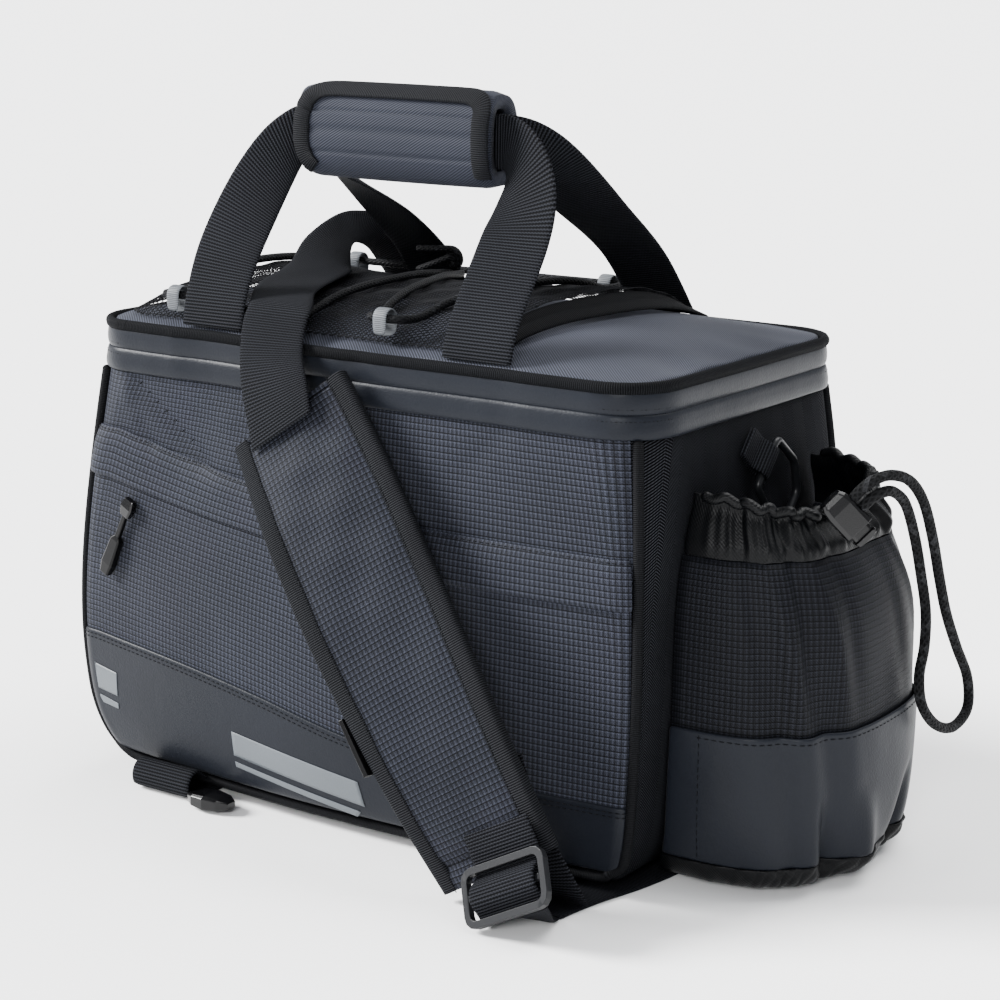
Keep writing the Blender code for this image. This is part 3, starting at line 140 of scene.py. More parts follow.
def unit(rows):
    """Directions of length one"""
    rows = np.asarray(rows, float)
    return rows / np.maximum(np.linalg.norm(rows, axis=-1, keepdims=True), 1e-12)


def settle(piece, replaced, body="bag"):
    """Put a piece on its body and the node that it takes the place of"""
    if replaced:
        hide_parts(*replaced)
    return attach(piece, body)


def lay_cloth(name, rows, finish, replaced=(), thick=0.0, side=-1, closed=False, looped=False,
              capped=False, rounds=1, body="bag"):
    """A grid of points made a piece that rides on the bag, with the cloth's own measure in
    metres as its UV map: across the rows, then along them"""
    rows = np.asarray(rows, float) + bag_to_row
    count, across = rows.shape[:2]
    wide = np.concatenate([rows, rows[:, :1]], 1) if closed else rows
    tall = np.concatenate([rows, rows[:1]], 0) if looped else rows
    steps = np.linalg.norm(np.diff(wide, axis=1), axis=2)
    u = np.concatenate([[0], np.cumsum(steps[np.argmax(steps.sum(1))])])
    steps = np.linalg.norm(np.diff(tall, axis=0), axis=2)
    v = np.concatenate([[0], np.cumsum(steps[:, steps.shape[1] // 2])])
    i, j = (k.ravel() for k in np.meshgrid(np.arange(len(v) - 1), np.arange(len(u) - 1), indexing="ij"))
    corners = [(i, j), (i, j + 1), (i + 1, j + 1), (i + 1, j)]
    faces = np.stack([(a % count) * across + b % across for a, b in corners], 1).tolist()
    measure = np.stack([np.stack([u[b], v[a]], 1) for a, b in corners], 1).reshape(-1, 2)
    if capped:
        start = (count - 1) * across
        faces += [list(range(across))[::-1], list(range(start, start + across))]
        measure = np.concatenate([measure, np.zeros((across, 2)), np.zeros((across, 2)) + [0, v[-1]]])
    mesh = bpy.data.meshes.new(name)
    mesh.from_pydata(rows.reshape(-1, 3).tolist(), [], faces)
    mesh.polygons.foreach_set("use_smooth", [True] * len(faces))
    mesh.uv_layers.new(name="cloth").data.foreach_set("uv", measure.ravel())
    mesh.materials.append(finish)
    piece = new_object(name, mesh)
    if thick:
        wall = piece.modifiers.new("cloth", "SOLIDIFY")
        wall.thickness, wall.offset, wall.use_even_offset = thick, side, False
    if rounds:
        soft = piece.modifiers.new("soft edges", "SUBSURF")
        soft.levels = soft.render_levels = rounds
    return settle(piece, replaced, body)


def cord_rows(points, radius, around=12, flat=1.0, lean=None, looped=False):
    """Rings of points round a line, with a rounded tip at each end of an open one. A lean
    sets the direction of the ring's first axis, which flat makes thinner or wider."""
    points = np.asarray(points, float)
    ahead = unit(np.roll(points, -1, 0) - np.roll(points, 1, 0) if looped else np.gradient(points, axis=0))
    first = np.array((0.0, 0, 1) if abs(ahead[0][2]) < 0.9 else (1.0, 0, 0))
    angles = np.linspace(0, tau, around, endpoint=False)[:, None]
    rings = []
    for way in ahead:
        first = first if lean is None else np.asarray(lean, float)
        first = unit(first - way * first.dot(way))
        rings.append(first * np.cos(angles) * flat + np.cross(way, first) * np.sin(angles))
    rows = [point + ring * radius for point, ring in zip(points, rings)]
    if looped:
        return rows
    tip = [(sqrt(1 - share * share), share * radius * 0.8) for share in (0.25, 0.62, 0.92)]
    head = [points[0] + rings[0] * radius * s - ahead[0] * d for s, d in reversed(tip)]
    return head + rows + [points[-1] + rings[-1] * radius * s + ahead[-1] * d for s, d in tip]


def lay_cord(name, line, radius, finish, replaced=(), around=10):
    """A cord with rounded ends along a line"""
    return lay_cloth(name, cord_rows(line, radius, around), finish, replaced, closed=True, capped=True,
                     rounds=0)


def add_node(tree, kind, inputs=None, **settings):
    """A new node with its settings and inputs"""
    node = tree.nodes.new(kind)
    for label, value in settings.items():
        setattr(node, label, value)
    return fill(tree, node, inputs or {})


class Measure:
    """A value of a material's nodes that adds, multiplies and repeats like a number"""

    def __init__(self, tree, socket):
        self.tree, self.socket = tree, socket

    def join(self, kind, *others):
        values = [value.socket if isinstance(value, Measure) else value for value in (self, *others)]
        node = add_node(self.tree, "ShaderNodeMath", dict(enumerate(values)), operation=kind)
        return Measure(self.tree, node.outputs[0])

    def __add__(self, other):
        return self.join("ADD", other)

    def __sub__(self, other):
        return self.join("SUBTRACT", other)

    def __mul__(self, other):
        return self.join("MULTIPLY", other)

    def wave(self, pitch):
        """0 to 1 and back over each pitch"""
        return (self * (tau / pitch)).join("COSINE") * 0.5 + 0.5

    def fold(self, pitch):
        """0.5 at each multiple of the pitch, and 0 midway"""
        return ((self * (1 / pitch)).join("FRACT") - 0.5).join("ABSOLUTE")

    def line(self, pitch, width):
        """1 on a thin line at each pitch"""
        return self.fold(pitch).join("GREATER_THAN", 0.5 - width / pitch / 2)

    def cell(self, pitch):
        """Number of the repeat that a place is in"""
        return (self * (1 / pitch)).join("FLOOR")


def speckle(tree, x, y):
    """A number from 0 to 1 that belongs to one cell of a weave"""
    cells = add_node(tree, "ShaderNodeCombineXYZ", {0: x.socket, 1: y.socket})
    return Measure(tree, add_node(tree, "ShaderNodeTexWhiteNoise", {"Vector": cells}).outputs["Value"])


def soft_noise(tree, scale, detail=3.0):
    """Slow unevenness over the whole piece, read from its place in the bag"""
    place = tree.nodes.new("ShaderNodeTexCoord").outputs["Object"]
    noise = add_node(tree, "ShaderNodeTexNoise", {"Vector": place, "Scale": scale, "Detail": detail})
    return Measure(tree, noise.outputs["Fac"])


def make_finish(name, dark, light, roughness, weave, depth=0.0002, sheen=0.0, gloss=0.08, coat=0.0):
    """A finish whose weave gives the share of the light colour and the height of the threads.
    Its colours are in thousandths."""
    finish = bpy.data.materials.new(name)
    finish.use_nodes = True
    tree = finish.node_tree
    parts = add_node(tree, "ShaderNodeSeparateXYZ", {0: add_node(tree, "ShaderNodeUVMap", uv_map="cloth")})
    share, height = weave(tree, Measure(tree, parts.outputs[0]), Measure(tree, parts.outputs[1]))
    worn = share * (soft_noise(tree, 22.0) * 0.7 + 0.65)
    ends = {end: (*(value / 1000 for value in colour), 1) for end, colour in (("A", dark), ("B", light))}
    blend = add_node(tree, "ShaderNodeMix", {**ends, "Factor": worn.socket}, data_type="RGBA")
    relief = add_node(tree, "ShaderNodeBump", {"Strength": 1.0, "Distance": depth, "Height": height.socket})
    fill(tree, tree.nodes["Principled BSDF"],
         {"Roughness": roughness, "Specular IOR Level": gloss, "Sheen Weight": sheen, "Sheen Roughness": 0.45,
          "Coat Weight": coat, "Coat Roughness": 0.25, "Base Color": blend.outputs["Result"], "Normal": relief})
    return finish


def braid_weave(girth, pitch, fleck):
    """Diagonal strands both ways round a cord, some of them light"""
    def weave(tree, u, v):
        left, right = u * (1 / girth) + v * (1 / pitch), u * (1 / girth) - v * (1 / pitch)
        height = left.wave(1.0).join("MAXIMUM", right.wave(1.0))
        light = speckle(tree, left.cell(1.0), right.cell(1.0)).join("GREATER_THAN", 1 - fleck)
        return height * 0.35 + light * 0.65, height
    return weave


drawcord_finish = make_finish("drawcord_braid", (0.6, 0.6, 0.7), (17, 17.5, 19), 0.62,
                              braid_weave(0.0026, 0.0034, 0.16), 0.0005, sheen=0.01, gloss=0.05)
drawcord_line = smooth_rows(drawcord_route, 130)
drawcord = lay_cord("drawcord", drawcord_line, drawcord_radius, drawcord_finish, ("pocket_drawcord",), 12)


# Main compartment: a padded box of near-black herringbone cloth, sewn from a long
# gusset that makes both ends and the base, and a back panel. Its lower corners
# are soft, so it bellies out and draws in towards the floor.
body_length, body_width, body_height = 0.328, 0.192, 0.2065
webbing_wide, webbing_thick, gap, layer = 0.038, 0.0018, 0.0003, 0.0007
base_height = webbing_thick + gap
body_top = base_height + body_height
lid_top = body_top + 0.0194
body_sections = [
    # height, left, right, front, back, corner, belly
    (0, 0.341, 0.436, 0.448, 0.448, 0.021, 0), (0.015, 0.396, 0.459, 0.477, 0.477, 0.031, 0.021),
    (0.048, 0.442, 0.474, 0.495, 0.495, 0.042, 0.042), (0.116, 0.479, 0.488, 0.505, 0.505, 0.047, 0.052),
    (0.217, 0.5, 0.495, 0.51, 0.51, 0.052, 0.057), (0.386, 0.509, 0.5, 0.513, 0.513, 0.057, 0.057),
    (0.58, 0.505, 0.5, 0.51, 0.51, 0.068, 0.047), (0.797, 0.495, 0.498, 0.505, 0.505, 0.099, 0.026),
    (1, 0.488, 0.491, 0.49, 0.49, 0.135, 0.008),
]
front_dents = [(-0.62, 0.9, 0.16, 0.018), (-0.3, 0.82, 0.14, 0.012), (0.55, 0.86, 0.18, 0.008)]
drag_folds = [
    # from x, z, to x, z, half width, depth
    (-0.1255, 0.2004, -0.084, 0.17, 0.0042, 0.0021), (-0.13, 0.1899, -0.115, 0.173, 0.0034, 0.0012),
    (-0.1418, 0.208, -0.1285, 0.187, 0.004, -0.0012), (-0.101, 0.206, -0.07, 0.19, 0.004, -0.0009),
    (0.01, 0.206, -0.006, 0.18, 0.005, 0.001), (0.09, 0.206, 0.07, 0.185, 0.006, 0.0007),
]
body_table = smooth_rows(body_sections, 241)


def body_sizes(height):
    """Left, right, front and back reach, corner radius and belly at a share of the height"""
    left, right, front, back, corner, belly = [
        np.interp(height, body_table[:, 0], body_table[:, k]) for k in range(1, 7)]
    return (left * body_length, right * body_length, front * body_width, back * body_width,
            corner * body_width, belly * body_width)


def front_dent(along, height, x, z):
    """Depth of the dents and drag folds at a place on the front panel"""
    depth = 0.0
    for dent_along, dent_height, radius, dent_depth in front_dents:
        dx = (along - dent_along) * body_length / 2
        dz = (height - dent_height) * body_height
        depth += dent_depth * body_width * exp(-(dx * dx + dz * dz) / (radius * body_width) ** 2)
    for x1, z1, x2, z2, half, fold in drag_folds:
        run = hypot(x2 - x1, z2 - z1)
        ahead = ((x - x1) * (x2 - x1) + (z - z1) * (z2 - z1)) / run / run
        beside = ((x - x1) * (z2 - z1) - (z - z1) * (x2 - x1)) / run
        ends = exp(-max(abs(ahead - 0.5) - 0.5, 0) ** 2 / 0.03)
        depth += fold * ends * bump(beside, half)
    return depth


def wall_point(place, height):
    """Point of the outside. The place runs round the wall: 0-1 the front from left to right,
    2-3 the right end, 4-5 the back and 6-7 the left end, with the corners between them."""
    place %= 8
    left, right, front, back, corner, belly = body_sizes(height)
    middle_x, middle_y = (right - left) / 2, (back - front) / 2
    flat_x, flat_y = (right + left) / 2 - corner, (back + front) / 2 - corner
    side = int(place)
    share = 2 * (place - side) - 1
    bulge = belly * (1 - share * share)
    z = base_height + height * body_height
    ripple = 0.0004 * sin(place * 11 + height * 9) * sin(height * 17 - place * 5) * (1 - share ** 4)
    if side == 0:
        x = middle_x + flat_x * share
        return np.array((x, -front - bulge + front_dent(share, height, x, z) - ripple, z))
    if side == 2:
        return np.array((right + bulge * 0.15 + ripple * 0.3, middle_y + flat_y * share, z))
    if side == 4:
        return np.array((middle_x - flat_x * share, back + bulge * 0.15 + ripple, z))
    if side == 6:
        return np.array((-left - bulge * 0.15 - ripple, middle_y - flat_y * share, z))
    angle = radians(90 * ((side - 1) // 2) + 45 * (share + 1) - 90)
    turn = {1: (right - corner, -front + corner), 3: (right - corner, back - corner),
            5: (-left + corner, back - corner), 7: (-left + corner, -front + corner)}[side]
    return np.array((turn[0] + corner * cos(angle), turn[1] + corner * sin(angle), z))


def wall_normal(place, height):
    """Outward direction of the compartment's wall"""
    side, step = int(place % 8), 0.004
    low, high = max(height - step, 0.0), min(height + step, 1.0)
    start, end = max(place % 8 - step, side + 1e-6), min(place % 8 + step, side + 1 - 1e-6)
    return unit(np.cross(wall_point(end, height) - wall_point(start, height),
                         wall_point(place, high) - wall_point(place, low)))


def off_wall(place, height, distance):
    """Point at a distance outside the compartment's wall"""
    return wall_point(place, height) + wall_normal(place, height) * distance


def herringbone(tree, u, v):
    """Diagonal ribs that change direction in upright columns"""
    rib = (u.fold(column_wide) * column_wide + v).wave(0.0014)
    thread = u.wave(0.0009)
    return rib * rib * (thread * 0.5 + 0.5), rib * 0.8 + thread * 0.2


column_wide, shell_wall = 0.026, 0.003
wall_places = [side + k / steps for side, steps in enumerate((44, 7, 26, 7, 40, 7, 26, 7)) for k in range(steps)]
wall_heights = [0, 0.006, 0.015, 0.03, 0.048, *np.linspace(0.07, 1.0, 48)]
gusset_finish = make_finish("herringbone_cloth", (0.1, 0.1, 0.1), (29, 30.6, 36), 0.72,
                            herringbone, 0.0004, gloss=0.01)
floor_middle = wall_point(0.5, 0) * (1, 0, 1)
shell_rows = [[floor_middle + (wall_point(place, 0) - floor_middle) * share for place in wall_places]
              for share in (0.02, 0.5, 0.9)]
shell_rows += [[wall_point(place, height) for place in wall_places] for height in wall_heights]
compartment = lay_cloth("compartment_shell", shell_rows, gusset_finish, ("main_compartment",),
                        thick=shell_wall, closed=True, rounds=0)


# Corded piping down both sides and along the bottom of the front and back panels:
# a cord wrapped in a bias strip of woven tape, which shows fine ribs across it.
piping_radius = 0.0024
piping_levels = (0.985, 0.88, 0.76, 0.62, 0.48, 0.34, 0.217, 0.15, 0.1, 0.066)


def tape_weave(pitch, groove=0.0, width=1.0):
    """Ribs across a narrow tape, with a groove along its sewing line"""
    def weave(tree, u, v):
        rib, grain = v.wave(pitch), u.wave(pitch * 0.8)
        height = rib * 0.85 + grain * 0.15
        return rib * (grain * 0.3 + 0.7), height - u.line(width, groove) * 0.9 if groove else height
    return weave


piping_finish = make_finish("piping_tape", (0.6, 0.6, 0.7), (9, 9.4, 11), 0.68,
                            tape_weave(0.00085), 0.00018, gloss=0.04)
for name, near, far, flat in (("front_piping", 7.5, 1.5, 0), ("back_piping", 5.5, 3.5, 4)):
    ahead = 1 if flat == 0 else -1
    reach = piping_radius - 0.0004
    down = [(near, level) for level in piping_levels] + [(near + ahead * 0.28, 0.048)]
    bottom = [(flat + share, 0.033) for share in np.linspace(0.01, 0.99, 9)][::ahead]
    up = [(far - ahead * 0.28, 0.048)] + [(far, level) for level in piping_levels[::-1]]
    line = smooth_rows([off_wall(place, level, reach) for place, level in down + bottom + up], 260)
    lay_cord(name + "_cord", line, piping_radius, piping_finish, (name,))


# Front panel: ripstop over foam, a flat zipped pocket of the same cloth under a
# flap, and a coated strip along the bottom with plain reflective bars welded on.
# The cloth is caught in the piping all round and topstitched.
front_lines = [
    # along, flap top, flap bottom, trim top
    (-0.97, 0.855, 0.738, 0.345), (-0.6, 0.805, 0.697, 0.325), (-0.25, 0.772, 0.67, 0.29),
    (0.1, 0.752, 0.648, 0.243), (0.5, 0.745, 0.64, 0.212), (0.97, 0.745, 0.64, 0.205),
]
front_table = smooth_rows(front_lines, 61)
pocket_cloth, trim_cloth, flap_cloth, front_skin, bar_film = 0.0016, 0.0022, 0.0015, 0.0003, 0.00025
seam_reach, sewn_reach = 1.4, 1.36


def ripstop(tree, u, v):
    """Fine weave crossed by light ribs both ways, each with a thin dark line beside it"""
    fine = (u + v).wave(0.0012) * 0.6 + (u - v * 0.5).wave(0.0017) * 0.4
    level, upright = v.line(0.0028, 0.0005), u.line(0.0025, 0.0004)
    rows, columns = (v + 0.00065).line(0.0028, 0.00062), (u + 0.0011).line(0.0025, 0.00062)
    grid = (rows + columns) * 0.3 + rows * columns * 0.55
    light = (fine * 0.24 + 0.2 + grid) * (level * -0.85 + 1) * (upright * -0.65 + 1)
    return light, fine * 0.45 + grid * 0.8 - level * 0.4 - upright * 0.3


ripstop_finish = make_finish("ripstop_cloth", (1.1, 1.2, 1.7), (35.2, 39, 54.5), 0.58,
                             ripstop, 0.00028, sheen=0.015, gloss=0.06)


def coated_weave(tree, u, v):
    """A smooth coat that shows only faint grain"""
    grain = soft_noise(tree, 900.0, 2.0)
    return grain * 0.5 + 0.3, grain + soft_noise(tree, 60.0, 2.0) * 2.0


coated_finish = make_finish("coated_cloth", (3.4, 4.1, 6.1), (8.2, 9.8, 14), 0.42,
                            coated_weave, 0.00012, sheen=0.01, gloss=0.1, coat=0.01)


def front_line(column, along):
    """One of the lines across the front panel"""
    return np.interp(along, front_table[:, 0], front_table[:, column])


def front_spot(along, height, distance):
    """Point over the front, which goes on round the corners past 1 and -1 to the piping"""
    along = clamp(along, -1.46, 1.46)
    place = (along + 1) / 2 if abs(along) <= 1 else (along if along > 1 else 9 + along)
    return off_wall(place, height, distance)


def between(start, end, share):
    """A share of the way from one to the other"""
    return start * (1 - share) + end * share


def front_sheet(name, low, high, offsets, reach, finish, replaced, thick):
    """Cloth over the front between two lines, each row of it at its own distance"""
    alongs = np.concatenate([np.linspace(-reach, -1, 5)[:-1], np.linspace(-0.999, 0.999, 90),
                             np.linspace(1, reach, 5)[1:]])
    rows = [[front_spot(a, between(low(a), high(a), share), distance) for a in alongs]
            for share, distance in offsets]
    return lay_cloth(name, rows, finish, replaced, thick=thick, side=1)


flap_raise, trim_raise = layer + pocket_cloth + layer, layer + 0.0004
front_sheet("front_cloth", lambda a: front_line(2, a), lambda a: 1.0,
            [(k / 24, front_skin) for k in range(25)],
            seam_reach + 0.04, ripstop_finish, (), front_skin)
front_sheet("front_pocket_cloth", lambda a: front_line(3, a) - 0.006, lambda a: front_line(2, a) + 0.055,
            [(k / 30, layer) for k in range(31)], seam_reach, ripstop_finish, ("front_pocket",),
            pocket_cloth)
front_sheet("front_flap_cloth", lambda a: front_line(2, a), lambda a: front_line(1, a),
            [(0.0, flap_raise), (0.05, flap_raise + layer), (0.2, flap_raise + layer * 0.6), (0.4, flap_raise),
             (0.6, flap_raise), (0.8, flap_raise * 0.7), (0.93, layer * 1.6), (1.0, layer)],
            seam_reach, ripstop_finish, ("pocket_flap",), flap_cloth)
front_sheet("front_trim_cloth", lambda a: 0.05, lambda a: front_line(3, a),
            [(k / 14, trim_raise) for k in range(15)], seam_reach, coated_finish, ("lower_trim",),
            trim_cloth)


def reflective_weave(tree, u, v):
    """Fine glass beads under a clear coat"""
    beads = soft_noise(tree, 2500.0, 1.0)
    return beads * 0.8 + 0.3, beads


bar_finish = make_finish("reflective_film", (58, 66, 73), (95, 106, 117), 0.38,
                         reflective_weave, 0.00003, gloss=0.2)
reflective_bars = [
    # the four corners, as x and height: lower left, lower right, upper right, upper left
    ((-0.1565, 0.0428), (-0.1386, 0.0411), (-0.1384, 0.0533), (-0.159, 0.056)),
    ((-0.15, 0.0353), (-0.1384, 0.0343), (-0.1383, 0.0371), (-0.1535, 0.0394)),
    ((-0.0569, 0.028), (0.0225, 0.019), (0.0199, 0.0312), (-0.0576, 0.0403)),
    ((-0.0563, 0.0223), (0.017, 0.013), (0.0196, 0.0158), (-0.0567, 0.0249)),
]


def front_place(x, z):
    """The place across the front, as a share of its flat part, at an x and a height"""
    height = (z - base_height) / body_height
    left, right, _, _, corner, _ = body_sizes(height)
    return (x - (right - left) / 2) / ((right + left) / 2 - corner), height


for k, (lower_left, lower_right, upper_right, upper_left) in enumerate(np.array(reflective_bars)):
    rows = []
    for up in np.linspace(0, 1, 9):
        spots = [between(between(lower_left, lower_right, share), between(upper_left, upper_right, share), up)
                 for share in np.linspace(0, 1, 40)]
        rows.append([front_spot(*front_place(*spot), trim_raise + trim_cloth + 0.00005) for spot in spots])
    lay_cloth(f"reflective_bar_{k + 1}", rows, bar_finish, thick=bar_film, side=1, rounds=0)


def grow_tree(name, sizes, build):
    """A modifier's node tree with named sizes, which ends in realized geometry with a finish"""
    tree = bpy.data.node_groups.new(name, "GeometryNodeTree")
    for label, kind in (("Line", "Geometry"), *((size, "Float") for size in sizes), ("Finish", "Material")):
        tree.interface.new_socket(label, in_out="INPUT", socket_type="NodeSocket" + kind)
    tree.interface.new_socket("Piece", in_out="OUTPUT", socket_type="NodeSocketGeometry")
    given = tree.nodes.new("NodeGroupInput").outputs
    real = add_node(tree, "GeometryNodeRealizeInstances", {0: build(tree, given)})
    coat = add_node(tree, "GeometryNodeSetMaterial", {"Geometry": real, "Material": given["Finish"]})
    add_node(tree, "NodeGroupOutput", {0: coat})
    return tree


def grow_piece(name, points, edges, faces, tree, values, finish, replaced=()):
    """Run a node tree over a line or a net of points, and keep the plain mesh"""
    start = bpy.data.meshes.new(name + "_line")
    start.from_pydata([tuple(p) for p in np.asarray(points, float) + bag_to_row], edges, faces)
    piece = new_object(name, start)
    grown = piece.modifiers.new("grown", "NODES")
    grown.node_group = tree
    for label, value in {**values, "Finish": finish}.items():
        grown[tree.interface.items_tree[label].identifier] = value
    bpy.context.view_layer.update()
    mesh = bpy.data.meshes.new_from_object(piece.evaluated_get(bpy.context.evaluated_depsgraph_get()))
    piece.modifiers.clear()
    piece.data = mesh
    mesh.polygons.foreach_set("use_smooth", [True] * len(mesh.polygons))
    return settle(piece, replaced)


def sewn_thread(tree, given):
    """One stretched bead of thread at each pitch along a line"""
    line = add_node(tree, "GeometryNodeMeshToCurve", {0: given["Line"]})
    even = add_node(tree, "GeometryNodeResampleCurve", {"Curve": line, "Length": given["Pitch"]}, mode="LENGTH")
    bead = add_node(tree, "GeometryNodeMeshIcoSphere", {"Subdivisions": 1})
    size = add_node(tree, "ShaderNodeCombineXYZ", {0: given["Thread"], 1: given["Thread"], 2: given["Stitch"]})
    turn = add_node(tree, "FunctionNodeAlignRotationToVector",
                    {"Vector": tree.nodes.new("GeometryNodeInputTangent")}, axis="Z")
    return add_node(tree, "GeometryNodeInstanceOnPoints",
                    {"Points": even, "Instance": bead, "Rotation": turn, "Scale": size})


thread_tree = grow_tree("sewn_thread", ("Pitch", "Stitch", "Thread"), sewn_thread)


def thread_weave(tree, u, v):
    """Plain thread"""
    fluff = soft_noise(tree, 4000.0)
    return fluff, fluff


thread_finish = make_finish("sewing_thread", (1, 1, 1.3), (8, 8.5, 10.2), 0.6, thread_weave, gloss=0.05)


def sew(name, lines, pitch=0.0032, stitch=0.0013, thread=0.00028):
    """Rows of stitches along lines of points"""
    points, edges = [], []
    for line in lines:
        edges += [(len(points) + k, len(points) + k + 1) for k in range(len(line) - 1)]
        points += list(line)
    return grow_piece(name, points, edges, [], thread_tree, {"Pitch": pitch, "Stitch": stitch, "Thread": thread},
                      thread_finish)


trim_out, flap_out = trim_raise + trim_cloth, layer + pocket_cloth
front_run = np.linspace(-sewn_reach, sewn_reach, 120)
sew("front_stitches", [[front_spot(a, front_line(column, a) - drop, distance) for a in front_run]
                       for column, drop, distance in ((3, 0.012, trim_out + 0.0001), (3, 0.022, trim_out + 0.0001),
                                                      (1, 0.006, flap_out + 0.0003))])


# Band and zip round the top: two strips of the coated cloth whose lips close over a
# coil zip. The lower one hangs a little over the walls, like a storm flap.
zip_gap, band_cloth, band_hang, lip_gap, zip_tape_half = 0.003, 0.0011, 0.0008, 0.0003, 0.0014
zip_height = body_top + (lid_top - body_top - zip_gap) / 2 + zip_gap / 2


def top_outline(offset, z):
    """Outline of the compartment's upper edge, moved outwards, at a height"""
    points = []
    for place in wall_places:
        outward = wall_normal(place, 0.995) * (1, 1, 0)
        points.append((wall_point(place, 1.0) + unit(outward) * offset) * (1, 1, 0) + (0, 0, z))
    return points


def top_ring(offset, z):
    """The same outline with its start at its end again"""
    ring = top_outline(offset, z)
    return ring + ring[:1]


for name, low, rise, section in (
        ("band_lower", body_top - band_hang, zip_height - lip_gap - body_top + band_hang,
         ((0, 0.0014), (0.1, 0.0019), (0.35, 0.002), (0.6, 0.0015), (0.84, 0.0011), (0.96, 0.0007), (1, -0.0004))),
        ("band_upper", zip_height + lip_gap, lid_top - zip_height,
         ((0.0, -0.0004), (0.04, 0.0003), (0.16, 0.0008), (0.42, 0.001), (0.7, 0.0008), (0.92, 0.0004),
          (1.0, 0.0)))):
    lay_cloth(name + "_cloth", [top_outline(out, low + rise * share) for share, out in section], coated_finish,
              (name,), thick=band_cloth, side=1, closed=True)
lay_cloth("zip_tape", [top_outline(gap, zip_height + rise) for rise in (-zip_tape_half, 0, zip_tape_half)],
          piping_finish, ("lid_zip",), thick=0.0006, side=1, closed=True, rounds=0)
sew("zip_coil", [top_ring(0.0005, zip_height)], pitch=0.0011, stitch=0.0004, thread=0.0007)
sew("band_stitches", [top_ring(0.00165, zip_height + 0.0026), top_ring(0.0021, zip_height - 0.0026)],
    pitch=0.0021, stitch=0.0008, thread=0.0002)


# Lid: plain woven cloth over foam, crowned in the middle, its edge and the band's
# bound together in one thick folded tape.
binding_radius, lid_crown, lid_wall = 0.002, 0.012, 0.003
lid_edge = lid_top + lid_wall


def lid_height(x, y):
    """Top of the crowned lid"""
    across, along = min(abs(x) / (body_length / 2), 1), min(abs(y) / (body_width / 2), 1)
    return lid_edge + lid_crown * (1 - across ** 4) * (1 - along ** 2.6)


def plain_weave(tree, u, v):
    """Over and under, thread by thread"""
    over = (u + v).wave(0.0016) * 0.7 + (u - v).wave(0.0021) * 0.3
    return over * over, over


lid_finish = make_finish("lid_plain_cloth", (6, 6.6, 8.5), (59, 65, 90), 0.6, plain_weave, 0.00015, sheen=0.02)


def plan_measure(piece):
    """Lay the weave of a flat piece by its plan, so that its threads run straight"""
    mesh = piece.data
    spots = np.zeros(len(mesh.vertices) * 3)
    mesh.vertices.foreach_get("co", spots)
    corners = np.zeros(len(mesh.loops), int)
    mesh.loops.foreach_get("vertex_index", corners)
    mesh.uv_layers["cloth"].data.foreach_set("uv", spots.reshape(-1, 3)[corners, :2].ravel())


lid_rows = []
lid_outline = top_outline(-binding_radius - gap, 0)
for share in (1.0, 0.985, 0.965, 0.94, 0.9, 0.85, 0.79, 0.72, 0.64, 0.55, 0.45, 0.34, 0.22, 0.1, 0.01):
    row = []
    for k, spot in enumerate(lid_outline):
        x, y = spot[0] * share, spot[1] * share
        pucker = 0.0005 * sin(k * 0.9) * max(0, (share - 0.8) * 5) * (share < 0.999)
        row.append((x, y, lid_height(x, y) + pucker + 0.0004 * sin(x * 55 + y * 30) * (1 - share)))
    lid_rows.append(row)
lid_cloth = lay_cloth("lid_cloth", lid_rows, lid_finish, ("lid_panel",), thick=lid_wall, closed=True)
plan_measure(lid_cloth)
edge_finish = make_finish("edge_tape", (0.3, 0.3, 0.4), (8.5, 9, 10.6), 0.7, tape_weave(0.001), 0.00028, gloss=0.03)
lay_cloth("lid_edge_tape", cord_rows(top_outline(0.0004, lid_top + binding_radius), binding_radius * 1.12, 12, 1.25,
                                     (0, 0, 1), looped=True),
          edge_finish, ("lid_binding",), closed=True, looped=True, rounds=0)


# Mesh pocket on the lid: a black knitted net, held down along three sides in the
# lid's edge and loose towards the bottle pocket, where a folded tape binds it.
mesh_margin, mesh_puff, mesh_cloth = 0.011, 0.011, 0.001
mesh_rise = np.array([(0.0, 0.0), (0.05, 0.7), (0.11, 1.0), (0.18, 0.6), (0.3, 0.26), (0.55, 0.28),
                      (0.78, 0.55), (1, 0.9)])
hem_wide, hem_cloth, mesh_left = 0.01, 0.0018, -(body_length / 2 - mesh_margin)


def mesh_edge(x):
    """Half width of the mesh pocket at a place along the lid"""
    corner, half = 0.135 * body_width, body_width / 2 - mesh_margin
    past = abs(x) - (body_length / 2 - mesh_margin - corner)
    return half if past <= 0 else half - corner + sqrt(max(corner * corner - past * past, 0.0))


def hem_line(y):
    """Free edge of the mesh, slanted towards the back"""
    return 0.065 + 0.018 * (y / body_width + 0.5)


def mesh_height(x, y):
    """Underside of the mesh, puffed up above the lid"""
    along = clamp((x - mesh_left) / (hem_line(y) - mesh_left), 0, 1)
    across = 1 - min(abs(y) / mesh_edge(min(x, 0)), 1) ** 4
    return lid_height(x, y) + layer + mesh_puff * np.interp(along, mesh_rise[:, 0], mesh_rise[:, 1]) * across


def knitted_net(tree, given):
    """Six-sided holes round the points of a triangle grid, their edges made strands"""
    holes = add_node(tree, "GeometryNodeDualMesh", {0: given["Line"], "Keep Boundaries": True})
    strands = add_node(tree, "GeometryNodeMeshToCurve", {0: holes})
    girth = add_node(tree, "GeometryNodeCurvePrimitiveCircle", {"Resolution": 3, "Radius": given["Strand"]})
    return add_node(tree, "GeometryNodeCurveToMesh", {"Curve": strands, "Profile Curve": girth})


